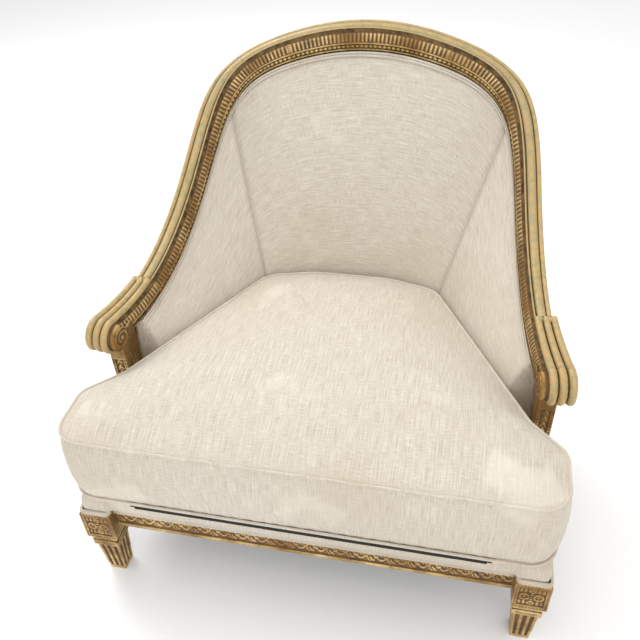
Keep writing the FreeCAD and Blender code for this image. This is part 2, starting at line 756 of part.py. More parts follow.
post_stock = arm_post()
panel_low = S.rail_high + 30
panel_high = S.tip_z - 2 * S.roll_radius - 14 - panel_low
front_panel = Part.makeBox(S.post_wide - 2 * S.post_border, 2 * S.panel_sink, panel_high,
                           V(S.post_in + S.post_border, S.tip_y - S.panel_sink, panel_low))
inner_panel = Part.makeBox(2 * S.panel_sink, S.post_deep - 2 * S.post_border - 8, panel_high,
                           V(S.post_in - S.panel_sink, S.tip_y + S.post_border, panel_low))
post = post_stock.cut([front_panel, inner_panel, arm])
post = max(post.Solids, key=lambda solid: solid.Volume)


def seat_rail(stations):
    return flat_faced([seat_rail_section(station) for station in stations])


def front_rail():
    """Front rail between the blocks: a plank with a sunk band for its carving."""
    body = new_body("front_rail_stock")
    length = "sizes.frame_width - 2 * sizes.leg_block"
    start = "-sizes.frame_width / 2 + sizes.leg_block"
    plan = rectangle(body, "front_rail_plan", "XY_Plane",
                     (start, "sizes.rail_setback", length, "sizes.rail_thick"), "sizes.rail_low")
    pad(body, "front_rail_plank", plan, "sizes.rail_high - sizes.rail_low")
    doc.recompute()
    return body.Shape


band_high = S.rail_high - S.rail_low - 2 * S.rail_fillet - 4
band = Part.makeBox(S.frame_width, 2 * S.rail_relief, band_high,
                    V(-HALF, S.rail_setback - S.rail_relief, S.rail_low + S.rail_fillet + 2))
front_seat_rail = front_rail().cut(band)
side_rail = seat_rail(SIDE_STATIONS).cut([rear_leg])
side_rail = max(side_rail.Solids, key=lambda solid: solid.Volume)
rear_rail = seat_rail(rail_stations(BACK)).cut([rear_leg, mirrored(rear_leg)])
rear_rail = max(rear_rail.Solids, key=lambda solid: solid.Volume)


# Corner braces and their screws.
def front_brace():
    """Brace across the front right corner, between the front rail and the side rail."""
    rail_inside = S.rail_setback + S.rail_thick
    side_inside = S.side_rail_out - S.rail_thick
    far = S.brace_leg + S.leg_block
    near = far - S.brace_thick * 1.4
    corner = V(side_inside, rail_inside, 0)
    points = [corner + V(-far, 0, 0), corner + V(-near, 0, 0), corner + V(0, near, 0), corner + V(0, far, 0)]
    low = (S.rail_low + S.rail_high - S.brace_high) / 2
    face = Part.Face(Part.makePolygon(points + [points[0]]))
    face.translate(UP * low)
    return face.extrude(UP * S.brace_high)


def rear_brace():
    """Brace across the rear right corner, behind the rear leg's block."""
    side_base, side_out = SIDE_STATIONS[2]
    back_base, back_out = rail_stations(BACK_HALF)[2]
    inner = S.back_thick - S.rail_thick
    side_end = side_base + side_out * inner
    back_end = back_base + back_out * inner
    way = (back_end - side_end).normalize()
    inward = UP.cross(way)
    if inward.dot(V(-side_out.x, -side_out.y, 0)) < 0:
        inward = inward * -1
    reach = S.rail_thick * 0.4
    points = [side_end - way * reach, back_end + way * reach,
              back_end + way * reach + inward * S.brace_thick, side_end - way * reach + inward * S.brace_thick]
    low = (S.rail_low + S.rail_high - S.brace_high) / 2
    face = Part.Face(Part.makePolygon(points + [points[0]]))
    face.translate(UP * low)
    return face.extrude(UP * S.brace_high).cut([side_rail, rear_rail, rear_leg])


brace_front = biggest(front_brace().cut([side_rail, front_seat_rail]))
brace_rear = max(rear_brace().Solids, key=lambda solid: solid.Volume)


def screw(tip, way, ease=0.0):
    """A wood screw with a countersunk head; tip is the head's outer face, way the way it is driven."""
    neck = S.screw_head - S.screw_radius
    shank = S.screw_radius + ease
    return prism(tip, way, ((0, S.screw_head + ease), (neck, shank), (S.screw_long, shank)))


def front_screws(ease=0.0):
    rail_inside = S.rail_setback + S.rail_thick
    side_inside = S.side_rail_out - S.rail_thick
    far = S.brace_leg + S.leg_block - S.brace_thick * 0.7
    middle = (S.rail_low + S.rail_high) / 2
    depth = S.brace_thick * 0.6
    slope = V(1, -1, 0).normalize()
    screws = []
    for start in (V(side_inside - far, rail_inside, middle), V(side_inside, rail_inside + far, middle)):
        inner = V(-1, 1, 0).normalize() * depth
        screws.append(screw(start + inner, slope, ease))
    return screws


screws_right = front_screws()
front_bores = front_screws(S.bore_ease)
brace_front = brace_front.cut(front_bores)
front_seat_rail = front_seat_rail.cut(front_bores + [mirrored(bore) for bore in front_bores])
side_rail = side_rail.cut(front_bores)


# Dowels: crest joints, arm joints and the two ends of each arm post.
post_middle = V(S.post_in + S.post_wide / 2, S.tip_y + S.post_deep / 2, 0)
post_pins = []
for along in (-0.25, 0.25):
    foot = post_middle + V(0, along * S.post_deep, S.rail_high - S.dowel_long / 2)
    post_pins.append((foot, UP))
post_bores = pin_solids(post_pins, S.bore_ease)
post = post.cut(post_bores)
side_rail = side_rail.cut(post_bores)

both_sides("arm_post", post)
solid_part("front_seat_rail", front_seat_rail)
both_sides("side_seat_rail", side_rail)
solid_part("rear_seat_rail", rear_rail)
both_sides("rear_leg", rear_leg)
both_sides("front_corner_brace", brace_front)
both_sides("rear_corner_brace", brace_rear)
right_dowels = pin_solids(crest_pins + arm_pins + post_pins)
solid_part("frame_dowels", Part.makeCompound(right_dowels + [mirrored(pin) for pin in right_dowels]))
solid_part("brace_screws", Part.makeCompound(screws_right + [mirrored(pin) for pin in screws_right]))


# Seat: webbing, hessian, stuffed platform and its cover.
def straps(low, crosswise):
    """Straps of webbing laid side by side over the seat, trimmed to the rails."""
    plate = platform_face(14, low).extrude(UP * S.web_thick)
    pitch = S.web_wide * 1.3
    count = 5 if crosswise else 7
    strips = []
    for number in range(count):
        if crosswise:
            start = V(-HALF, 85 + number * pitch * 1.12, low)
            box = Part.makeBox(S.frame_width, S.web_wide, S.web_thick, start)
        else:
            start = V((number - (count - 1) / 2) * pitch - S.web_wide / 2, 0, low)
            box = Part.makeBox(S.web_wide, OVERALL_BACK, S.web_thick, start)
        strips.append(box.common(plate))
    return strips


UPRIGHTS = [rear_leg, mirrored(rear_leg), post, mirrored(post)]
LEG_BLOCKS = [front_leg_shape, mirrored(front_leg_shape)]
web_low = S.rail_high
straps_long = straps(web_low, False)
straps_cross = straps(web_low + S.web_thick + S.rest_gap, True)
seat_straps = [strap.cut(UPRIGHTS) for strap in straps_long + straps_cross]
seat_straps = [solid for strap in seat_straps for solid in strap.Solids if solid.Volume > 5000]
solid_part("seat_webbing", Part.makeCompound(seat_straps))

hessian_low = web_low + 2 * S.web_thick + 2 * S.rest_gap
seat_hessian = platform_face(12, hessian_low).extrude(UP * S.hessian_thick).cut(UPRIGHTS)
solid_part("seat_hessian", max(seat_hessian.Solids, key=lambda solid: solid.Volume))
dust = platform_face(S.dust_inset, S.rail_low - S.dust_thick).extrude(UP * S.dust_thick)
dust = dust.cut([rear_leg, mirrored(rear_leg)] + LEG_BLOCKS)
solid_part("dust_cover", max(dust.Solids, key=lambda solid: solid.Volume))


def rounded(points, radii):
    """Points round a level outline, each corner eased to its radius in a few short flats."""
    eased = []
    count = len(points)
    for number in range(count):
        before, corner, after = points[number - 1], points[number], points[(number + 1) % count]
        back = (before - corner).normalize()
        ahead = (after - corner).normalize()
        half_angle = back.getAngle(ahead) / 2
        reach = radii[number] / math.tan(half_angle)
        middle_way = (back + ahead).normalize()
        centre = corner + middle_way * (radii[number] / math.sin(half_angle))
        via = centre - middle_way * radii[number]
        arc = Part.Arc(corner + back * reach, via, corner + ahead * reach).toShape()
        eased += arc.discretize(CORNER_FLATS + 1)
    return eased


def mirror_points(points, radii):
    """The right half's corners, from front to back, with their mirror images."""
    left = [V(-p.x, p.y, p.z) for p in reversed(points)]
    return points + left, radii + list(reversed(radii))


def well_corners(ease):
    """Corners of the seat well behind the posts: arm, seam and rounded back."""
    post_end = V(S.well_post_x, S.well_post_y, 0)
    seam = V(S.well_seam_x, S.well_seam_y, 0)
    centre = V(0.42 * S.well_seam_x, S.well_back_y - 3, 0)
    return [p - way * ease for p, way in ((post_end, SIDE[-1].out), (seam, BACK_HALF[-1].out),
                                          (centre, V(0, 1, 0)))]


def deck_ring(inset, low):
    ease = 2 * S.cloth_thick + S.deck_ease + inset
    side = S.deck_half - inset
    behind = S.tip_y - S.ear_gap - inset
    points = [V(side, S.deck_front + inset, 0), V(side, behind, 0), V(S.post_in - 4 - inset, behind, 0)]
    points += well_corners(ease)
    radii = [max(14 - inset, 1), max(8 - inset, 1), 4 + inset, 4 + inset / 2, max(34 - inset, 1), 60]
    points, radii = mirror_points(points, radii)
    return [point + UP * low for point in rounded(points, radii)]


def deck_block(inset):
    """The platform's block with its top edge rounded over."""
    low = hessian_low + S.hessian_thick + S.rest_gap
    top = S.deck_high - inset
    across = S.deck_round - inset
    drop = S.deck_drop - inset
    rings = [deck_ring(inset, low)]
    for angle in spread(0, math.pi / 2, ROUND_FLATS + 1):
        rings.append(deck_ring(inset + across * (1 - math.cos(angle)), top - drop * (1 - math.sin(angle))))
    return flat_faced(rings)


deck_solid = deck_block(0)
deck_inner = deck_block(S.cloth_thick)
deck_stuffing = deck_block(S.cloth_thick + S.rest_gap)
deck_cover = deck_solid.cut(deck_inner)
solid_part("deck_stuffing", deck_stuffing)
solid_part("deck_cover", deck_cover)


# Back and arms: stuffing, hessian, webbing and covers.
def panel(sections, name, mirror):
    """Stuffing, hessian and inside cover of one panel, or of a pair of panels."""
    stuffing = layered(sections, 0, S.pad_low, 0, S.pad_top, bowed=True)
    hessian = layered(sections, HESSIAN_IN[0], HESSIAN_IN[0] + S.hessian_thick,
                      HESSIAN_IN[1], HESSIAN_IN[1] + S.hessian_thick)
    cover = flat_faced([skin_section(item) for item in sections])
    outer = layered(sections, COVER_OUT[0] - S.cloth_thick, COVER_OUT[0],
                    COVER_OUT[1] - S.cloth_thick, COVER_OUT[1], low=S.rail_high + S.rest_gap)
    inside = []
    for kind, whole in (("stuffing", stuffing), ("hessian", hessian), ("cover", cover)):
        label = f"inside_{name}_{kind}"
        shape = biggest(whole.cut(TOP_RAILS))
        inside.append(shape)
        if mirror:
            both_sides(label, shape)
        else:
            solid_part(label, shape)
    return biggest(outer.cut(TOP_RAILS)), inside


outside_back, back_inside = panel(BACK, "back", False)
outside_arm, arm_inside = panel(PANEL_SIDE, "arm", True)
solid_part("outside_back_cover", outside_back)
both_sides("outside_arm_cover", outside_arm)


def back_webbing():
    """Upright straps behind the hessian of the back."""
    straps_made = []
    for first, last in (BACK_HALF[0:2], BACK_HALF[3:5]):
        strap = layered([first, last], WEB_IN[0], WEB_IN[0] + S.web_thick, WEB_IN[1], WEB_IN[1] + S.web_thick)
        strap = biggest(strap.cut(TOP_RAILS))
        straps_made += [strap, mirrored(strap)]
    return Part.makeCompound(straps_made)


solid_part("back_webbing", back_webbing())


def welt_ring(start, down, out):
    """Corners of a double welt's section: two lobes side by side, down its width and out from its back."""
    lobes = ((0, 0), (0.75, 0.06), (1, 0.25), (0.6, 0.5), (1, 0.75), (0.75, 0.94), (0, 1))
    return [start + out * (S.welt_thick * a) + down * (S.welt_wide * b) for a, b in lobes]


# Double welt round the inside of the top rail and arms, laid on the covering under the gilt moulding.
def back_welt_ring(section):
    lower, head = face_curve(section)[-2:]
    down = (lower - head).normalize()
    inward = (section.inward - down * section.inward.dot(down)).normalize()
    return welt_ring(head + inward * (S.cloth_thick + 2 * S.rail_gap), down, inward)


whole_back = [flip(item) for item in reversed(PANEL_SIDE)] + BACK[1:-1] + PANEL_SIDE
back_welt = flat_faced([back_welt_ring(item) for item in whole_back])
beside_welt = TOP_RAILS + back_inside + arm_inside + [mirrored(shape) for shape in arm_inside]
solid_part("back_double_welt", biggest(back_welt.cut(beside_welt)))


# Double welt along the top edge of the seat rails, stepped up over the front leg blocks.
def welt_strip(path, low):
    """The welt's section at each place of a path of (point, way out), from a low edge upwards."""
    return [welt_ring(point + UP * low, UP, out) for point, out in path]


def front_welt():
    """The welt on the front rail, between the leg blocks."""
    end = HALF - S.leg_block - S.rest_gap
    face = S.rail_setback - S.rest_gap
    rings = welt_strip([(V(-end, face, 0), FORWARD), (V(end, face, 0), FORWARD)], S.rail_high - S.welt_wide)
    return flat_faced(rings)


def block_welt():
    """The welt round the top of the right leg block, mitred at its two front corners."""
    inner = HALF - S.leg_block + S.welt_thick
    outer = HALF - S.welt_thick
    front = S.welt_thick
    path = [(V(inner, S.deck_front - S.rest_gap, 0), -ACROSS), (V(inner, front, 0), FORWARD - ACROSS),
            (V(outer, front, 0), FORWARD + ACROSS), (V(outer, S.leg_block, 0), ACROSS)]
    return flat_faced(welt_strip(path, S.block_high + S.rest_gap))


def rail_welt(stations):
    """The welt on the outer face of a curved seat rail."""
    path = [(base + out * (S.back_thick + S.rest_gap), out) for base, out in stations]
    strip = flat_faced(welt_strip(path, S.rail_high - S.welt_wide))
    return strip.cut([rear_leg, mirrored(rear_leg)])


right_welts = [block_welt(), rail_welt(SIDE_STATIONS)]
all_welts = [front_welt(), rail_welt(rail_stations(BACK))] + right_welts + [mirrored(w) for w in right_welts]
solid_part("rail_double_welt", Part.makeCompound([solid for welt in all_welts for solid in welt.Solids]))


# The loose cushion.
def cushion_corners(inset):
    """Corners of the T-shaped cushion's seam, right half from front to back."""
    ease = S.boxing_swell + S.cushion_ease + inset
    side = S.cushion_half - inset
    front = S.cushion_front + inset
    seam = V(S.well_seam_x, S.well_seam_y, 0) - BACK_HALF[-1].out * ease
    run = (V(S.well_post_x, S.well_post_y, 0) - V(S.well_seam_x, S.well_seam_y, 0)).normalize()
    square_in = UP.cross(run) if UP.cross(run).x < 0 else run.cross(UP)
    line_start = V(S.well_seam_x, S.well_seam_y, 0) + square_in * ease
    ear = V(side, S.ear_side + 0.414 * -inset, 0)
    ear_way = V(-1, 1, 0)
    # the ear's slanting back edge meets the line beside the arm in the notch
    reach = (line_start - ear).cross(run).z / ear_way.cross(run).z
    notch = ear + ear_way * reach
    back = V(0.42 * S.well_seam_x, S.well_back_y - 3 - ease, 0)
    seam_corner = line_start + run * ((seam - line_start).dot(run))
    return [V(side, front, 0), ear, notch, seam_corner, back]


def cushion_ring(inset, high):
    """Corners of the cushion's outline, taken in by an inset, at one height."""
    points, radii = mirror_points(cushion_corners(inset), [
        max(S.cushion_corner - inset, 2), max(S.cushion_corner - 4 - inset, 2), 20 + inset,
        max(48 - inset, 2), 150])
    return [point + UP * high for point in rounded(points, radii)]


def cushion_form(inset):
    """The cushion's body: swelled boxing between two seams, and a crown that rises to the middle."""
    low, high = S.seam_low + inset, S.seam_high - inset
    rings = [cushion_ring(inset + S.under_round, S.deck_high + S.rest_gap + inset), cushion_ring(inset, low)]
    for part in BOXING_PARTS:
        bulge = S.boxing_swell * (1 - (2 * part - 1) ** 4)
        rings.append(cushion_ring(inset - bulge, between(low, high, part)))
    seam = cushion_ring(inset, high)
    rings.append(seam)
    middle = V(0, S.crown_y_middle, high)
    for part in CROWN_PARTS:
        rise = S.crown_high * (1 - part ** S.crown_fall)
        rings.append([between(middle, point, part) + UP * rise for point in seam])
    return flat_faced(rings)


def piping_along(high):
    """Self piping sewn in the seam at that height: a closed cord round the cushion."""
    radius = S.piping / 2
    line = cushion_ring(-radius - S.piping_stand, high)
    turns = [2 * math.pi * number / PIPING_SIDES for number in range(PIPING_SIDES)]
    rings = []
    for number, here in enumerate(line):
        side_way = UP.cross((line[(number + 1) % len(line)] - line[number - 1]).normalize())
        rings.append([here + side_way * (radius * math.cos(a)) + UP * (radius * math.sin(a)) for a in turns])
    return flat_faced(rings, joined=True)


cushion_cover = cushion_form(0).cut(cushion_form(S.cloth_thick))
cushion_core = cushion_form(S.cloth_thick + S.rest_gap)
solid_part("cushion_core", cushion_core)
solid_part("cushion_cover", cushion_cover)
solid_part("cushion_top_piping", piping_along(S.seam_high))
solid_part("cushion_bottom_piping", piping_along(S.seam_low))


# Every feature has to have come out whole before anything is written.
doc.recompute()
for item in doc.Objects:
    for state in ("Invalid", "Error"):
        if state in item.State:
            raise RuntimeError(f"{item.Name} is {state}")
for item in made:
    if item.Shape.isNull() or not item.Shape.isValid():
        raise RuntimeError(f"{item.Label} has no valid shape")

os.makedirs("parts", exist_ok=True)
for item in made:
    item.Shape.exportStep(f"parts/{item.Label}.step")
print(len(made), "sub-parts written")
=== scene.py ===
import math
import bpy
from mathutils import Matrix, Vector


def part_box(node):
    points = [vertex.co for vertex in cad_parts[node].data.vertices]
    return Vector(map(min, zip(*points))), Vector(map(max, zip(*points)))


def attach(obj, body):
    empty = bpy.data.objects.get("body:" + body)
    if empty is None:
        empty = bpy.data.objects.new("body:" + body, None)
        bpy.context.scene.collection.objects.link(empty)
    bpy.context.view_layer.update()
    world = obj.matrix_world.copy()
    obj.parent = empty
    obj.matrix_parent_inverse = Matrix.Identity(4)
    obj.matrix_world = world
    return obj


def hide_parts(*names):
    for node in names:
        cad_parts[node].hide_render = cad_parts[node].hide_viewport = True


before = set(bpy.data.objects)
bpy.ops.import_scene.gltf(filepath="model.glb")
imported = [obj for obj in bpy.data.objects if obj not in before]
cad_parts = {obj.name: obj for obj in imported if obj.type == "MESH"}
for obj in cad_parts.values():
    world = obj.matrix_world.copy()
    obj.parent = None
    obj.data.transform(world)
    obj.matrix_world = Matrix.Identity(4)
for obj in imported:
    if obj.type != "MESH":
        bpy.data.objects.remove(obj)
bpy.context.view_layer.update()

from types import SimpleNamespace

import bmesh
import bpy
import numpy as np
from bpy.props import FloatProperty, FloatVectorProperty, PointerProperty
from mathutils import Matrix, Vector, noise

bl_info = {
    "name": "Bergere Chair",
    "version": (1, 0, 0),
    "blender": (4, 5, 0),
    "location": "View3D > Sidebar > Chair",
    "description": "Carved, painted and gilt upholstered armchair with a loose cushion",
    "category": "Object",
}

FRAME_BODY = "chair_frame"
CUSHION_BODY = "seat_cushion"
UP = Vector((0, 0, 1))
ACROSS = Vector((1, 0, 0))
FORWARD = Vector((0, -1, 0))

# The chair is set out in millimetres from the front faces of its leg blocks, as its maker would.
MM = 0.001
SET_BACK = -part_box("front_leg_right")[0].y / MM
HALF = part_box("front_leg_right")[1].x / MM
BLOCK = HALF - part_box("front_leg_right")[0].x / MM
RAIL_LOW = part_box("front_seat_rail")[0].z / MM
RAIL_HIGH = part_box("front_seat_rail")[1].z / MM
POST_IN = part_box("arm_post_right")[0].x / MM
POST_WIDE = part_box("arm_post_right")[1].x / MM - POST_IN
POST_DEEP = 55.0
TIP_Y = 190.0
STUFF_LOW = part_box("inside_back_stuffing")[0].z / MM


def point(x, y, z):
    return Vector((x, y, z))


def placed(p):
    """From the maker's millimetres to the frame's metres."""
    return Vector((p[0] * MM, (p[1] - SET_BACK) * MM, p[2] * MM))


def flip_point(p):
    return Vector((-p.x, p.y, p.z))


def between(low, high, part):
    return low + (high - low) * part


def spread(start, end, count):
    return [between(start, end, n / (count - 1)) for n in range(count)]


def smooth(low, high, value):
    part = min(1.0, max(0.0, (value - low) / (high - low)))
    return part * part * (3 - 2 * part)


def lengths_along(points):
    """How far along a line each of its points lies."""
    lengths = [0.0]
    for a, b in zip(points, points[1:]):
        lengths.append(lengths[-1] + (b - a).length)
    return lengths


def turns(count):
    """Angles evenly round a circle."""
    return [2 * math.pi * n / count for n in range(count)]


def ripple(u, pitch):
    """A rounded wave between 0 and 1 that repeats every pitch."""
    return 0.5 - 0.5 * math.cos(2 * math.pi * u / pitch)


def lump(u, v, reach, seed=0.0):
    """Soft random swelling between -1 and 1, about reach wide, the same on each run."""
    return noise.noise(Vector((u / reach + seed, v / reach - seed, 3.7 * seed)))


# The top rail's line and section

CREST_POINTS = ((0, 701, 782), (153, 691, 758), (252, 664, 707), (288, 604, 636), (303, 521, 559),
                (331, 312, 456), (348, 190, 456))
PAINT_WIDE = (35.3, 29.4)
ARM_WIDE = (38.0, 43.0)
PAINT_RISE = 6.4
GILT_HIGH = (34.9, 29.3)
GILT_LEAN = 8.9
RAIL_UNDER = 4.0
ROLL_RADIUS = 25.0
SCROLL_RADIUS = 19.0


class RailLine:
    """Smooth curve through the top rail's set-out points, from the left arm to the right arm."""

    def __init__(self, half):
        right = [Vector(p) for p in half]
        self.points = [flip_point(p) for p in reversed(right[1:])] + right
        self.knots = lengths_along(self.points)
        self.slopes = self.solve()
        self.crest = self.knots[len(right) - 1]
        self.joint = self.knots[len(right)]
        self.elbow = self.knots[-2]
        self.tip = self.knots[-1]

    def end_slope(self, a, b, c, ha, hb):
        first, second = (b - a) / ha, (c - b) / hb
        return first + (first - second) * (ha / (ha + hb))

    def solve(self):
        p, t = self.points, self.knots
        n = len(p)
        h = [t[i + 1] - t[i] for i in range(n - 1)]
        first = self.end_slope(p[0], p[1], p[2], h[0], h[1])
        last = -self.end_slope(p[-1], p[-2], p[-3], h[-1], h[-2])
        rows = np.zeros((n, n))
        values = np.zeros((n, 3))
        rows[0, 0] = rows[-1, -1] = 1
        values[0], values[-1] = first, last
        for i in range(1, n - 1):
            rows[i, i - 1] = h[i]
            rows[i, i] = 2 * (h[i - 1] + h[i])
            rows[i, i + 1] = h[i - 1]
            values[i] = 3 * (h[i] / h[i - 1] * (p[i] - p[i - 1]) + h[i - 1] / h[i] * (p[i + 1] - p[i]))
        return [Vector(row) for row in np.linalg.solve(rows, values)]

    def at(self, place):
        """Point and direction at a place along the line."""
        t = self.knots
        i = max(j for j in range(len(t) - 1) if t[j] <= place or j == 0)
        h = t[i + 1] - t[i]
        s = (place - t[i]) / h
        a, b, ma, mb = self.points[i], self.points[i + 1], self.slopes[i] * h, self.slopes[i + 1] * h
        s2, s3 = s * s, s * s * s
        here = a * (2 * s3 - 3 * s2 + 1) + ma * (s3 - 2 * s2 + s) + b * (3 * s2 - 2 * s3) + mb * (s3 - s2)
        way = (a * (6 * s2 - 6 * s) + ma * (3 * s2 - 4 * s + 1) + b * (6 * s - 6 * s2) + mb * (3 * s2 - 2 * s))
        return here, way.normalized()


LINE = RailLine(CREST_POINTS)


def rail_frame(at):
    """Point on the groove with its directions along, outwards (level) and upwards."""
    here, along = LINE.at(at)
    out = Vector((-along.y, along.x, 0)).normalized()
    return SimpleNamespace(point=here, along=along, out=out, up=along.cross(out))


def share(at):
    """0 on the crest, 1 at the elbow and along the arm."""
    return min(1.0, abs(at - LINE.crest) / (LINE.elbow - LINE.crest))


def gilt_height(at):
    return between(*GILT_HIGH, share(at))


def in_frame(rail, out, up):
    return rail.point + rail.out * out + rail.up * up


def arc(start, via, end, count):
    """Points after start on the circle through three points of a section."""
    (ax, ay), (bx, by), (cx, cy) = start, via, end
    d = 2 * (ax * (by - cy) + bx * (cy - ay) + cx * (ay - by))
    aa, bb, cc = ax * ax + ay * ay, bx * bx + by * by, cx * cx + cy * cy
    ux = (aa * (by - cy) + bb * (cy - ay) + cc * (ay - by)) / d
    uy = (aa * (cx - bx) + bb * (ax - cx) + cc * (bx - ax)) / d
    radius = math.hypot(ax - ux, ay - uy)
    first = math.atan2(ay - uy, ax - ux)
    last = math.atan2(cy - uy, cx - ux)
    middle = math.atan2(by - uy, bx - ux)
    turn = (last - first) % (2 * math.pi)
    if (middle - first) % (2 * math.pi) > turn:
        turn -= 2 * math.pi
    return [(ux + radius * math.cos(first + turn * n / count), uy + radius * math.sin(first + turn * n / count))
            for n in range(1, count + 1)]


class Section:
    """A moulding's section, drawn in steps that each belong to a named band."""

    def __init__(self, start):
        self.points = [start]
        self.bands = []

    def line(self, end, band, count=1):
        (ax, ay), (bx, by) = self.points[-1], end
        for n in range(1, count + 1):
            self.points.append((between(ax, bx, n / count), between(ay, by, n / count)))
            self.bands.append(band)

    def round(self, via, end, band, count=8):
        self.points += arc(self.points[-1], via, end, count)
        self.bands += [band] * count


def painted_section(at):
    """The back's section: painted fillet, broad round, quirk and outer round; gilt leaf ogee and bead band."""
    wide = between(*PAINT_WIDE, share(at))
    gilt = gilt_height(at)
    rise = PAINT_RISE
    cut = Section((1, -3))
    cut.line((0.06 * wide, 0.25 * rise), "groove", 2)
    cut.round((0.10 * wide, 0.52 * rise), (0.15 * wide, 0.42 * rise), "fillet", 5)
    cut.line((0.19 * wide, -0.05 * rise), "groove", 2)
    cut.line((0.22 * wide, 0.05 * rise), "groove")
    cut.round((0.46 * wide, 1.05 * rise), (0.71 * wide, 0.55 * rise), "paint", 14)
    cut.line((0.735 * wide, 0.12 * rise), "groove", 2)
    cut.line((0.76 * wide, 0.3 * rise), "groove")
    cut.round((0.9 * wide, 1.15 * rise), (wide, 0.45 * rise), "paint", 9)
    under_rail(cut, wide, gilt)
    return cut


def reeded_section(at):
    """The arm's section: three reeds with a flute between each two."""
    along_arm = (at - LINE.elbow) / (LINE.tip - LINE.elbow)
    wide = between(*ARM_WIDE, along_arm)
    start = 2.0
    reed = (wide - start) / 3.4
    flute = 0.2 * reed
    cut = Section((1, -3))
    cut.line((start, 0.2 * PAINT_RISE), "groove", 2)
    left = start
    for number in range(3):
        cut.round((left + reed / 2, PAINT_RISE + 0.15 * reed), (left + reed, 0.2 * PAINT_RISE), "paint", 12)
        left += reed
        if number < 2:
            cut.line((left + flute / 2, -0.1 * PAINT_RISE), "groove")
            cut.line((left + flute, 0.2 * PAINT_RISE), "groove")
            left += flute
    under_rail(cut, wide, gilt_height(at))
    return cut


def under_rail(cut, wide, gilt):
    """Outer side, underside and the gilt moulding that all parts of the rail share."""
    lower = -gilt - RAIL_UNDER
    cut.line((wide, -0.62 * gilt), "paint", 4)
    cut.round((wide - 2, lower + 3), (wide - 8, lower), "paint", 5)
    cut.line((2, lower), "wood", 2)
    cut.line((0, -gilt), "wood")
    cut.line((-GILT_LEAN, -gilt), "gilt", 2)
    cut.line((-GILT_LEAN - 0.6, -0.93 * gilt), "gilt", 2)
    cut.line((-0.62 * GILT_LEAN, -0.915 * gilt), "groove", 2)
    cut.line((-0.62 * GILT_LEAN, -0.725 * gilt), "groove", 4)
    cut.line((-0.95 * GILT_LEAN, -0.70 * gilt), "groove", 2)
    cut.round((-1.02 * GILT_LEAN, -0.66 * gilt), (-0.95 * GILT_LEAN, -0.62 * gilt), "gilt", 4)
    cut.line((-0.85 * GILT_LEAN, -0.60 * gilt), "groove", 2)
    cut.round((-0.66 * GILT_LEAN, -0.36 * gilt), (-0.22 * GILT_LEAN, -0.14 * gilt), "leaf", 16)
    cut.line((-0.2 * GILT_LEAN, -0.05 * gilt), "groove", 3)
    cut.line((1, -3), "groove", 2)


# Upright sections of the back and arms

WELL_BACK_Y = 507.0
SEAM = (172.0, 480.0)
POST_END = (304.0, 240.0)
SEAM_TURN = 36.0
POST_TURN = 58.0
BACK_THICK = 75.0
PAD_LOW, PAD_TOP = 40.0, 10.0
COVER_TOP = 30.0
UPRIGHT_TO = 360.0
BACK_SWELL = 16.0
SEAM_SWELL = 3.0
PAD_EDGE = 4 - GILT_LEAN
RAIL_GAP = 1.0


def under_rail_at(at, out):
    """Point close under the rail, so far out from its groove."""
    return in_frame(rail_frame(at), out, -gilt_height(at) - RAIL_UNDER - RAIL_GAP)


def head_under_rail(at):
    return under_rail_at(at, PAD_EDGE)


def narrowed(beyond):
    """Place on the right half of the rail where a test turns from false to true."""
    low, high = LINE.crest, LINE.tip
    for _ in range(40):
        middle = (low + high) / 2
        if beyond(middle):
            high = middle
        else:
            low = middle
    return middle


def upright(base, turn, swell):
    """Section of the padding that faces so many degrees from straight ahead, from its base up to the rail."""
    facing = Vector((math.sin(math.radians(turn)), math.cos(math.radians(turn)), 0))

    def beyond(at):
        hit = in_frame(rail_frame(at), PAD_EDGE, 0)
        return facing.cross(Vector((hit.x - base.x, hit.y - base.y, 0))).z < 0

    at = narrowed(beyond) if turn else LINE.crest
    head = head_under_rail(at)
    out = Vector((head.x - base.x, head.y - base.y, 0)).normalized()
    return SimpleNamespace(base=base, out=out, head=head, swell=swell, room=1.0, at=at)


def post_section():
    """Last upright section of an arm panel, behind the arm post."""
    behind = TIP_Y + POST_DEEP + 2
    at = narrowed(lambda place: head_under_rail(place).y <= behind)
    head = head_under_rail(at)
    base = Vector((POST_IN - 2, head.y, 0))
    room = (POST_IN + POST_WIDE - base.x) / BACK_THICK
    return SimpleNamespace(base=base, out=ACROSS, head=head, swell=SEAM_SWELL, room=room, at=at)


def back_section(part):
    base = Vector((SEAM[0] * part, WELL_BACK_Y - (WELL_BACK_Y - SEAM[1]) * part ** 2, 0))
    return upright(base, SEAM_TURN * part, SEAM_SWELL + BACK_SWELL * (1 - part ** 2))


def side_section(part):
    base = Vector((between(SEAM[0], POST_END[0], part), between(SEAM[1], POST_END[1], part), 0))
    swell = SEAM_SWELL + BACK_SWELL * 2 * part * (1 - part)
    return upright(base, between(SEAM_TURN, POST_TURN, part), swell)


def flip(section):
    return SimpleNamespace(base=flip_point(section.base), out=flip_point(section.out), room=section.room,
                           head=flip_point(section.head), swell=section.swell, at=section.at)


def blended(first, last, part):
    """Section between two others, eased so that the surface turns smoothly."""
    numbers = {name: between(getattr(first, name), getattr(last, name), part)
               for name in ("swell", "room", "at")}
    return SimpleNamespace(base=first.base.lerp(last.base, part), head=first.head.lerp(last.head, part),
                           out=first.out.lerp(last.out, part).normalized(), **numbers)


BACK_HALF = [back_section(part) for part in spread(0, 1, 25)]
BACK = [flip(section) for section in reversed(BACK_HALF[1:])] + BACK_HALF
SIDE = [side_section(part) for part in spread(0, 1, 33)]
POST_RETURN = [blended(SIDE[-1], post_section(), part) for part in spread(0, 1, 7)[1:]]
PANEL_SIDE = SIDE + POST_RETURN


def knee_and_head(section):
    return section.base + UP * UPRIGHT_TO, section.head


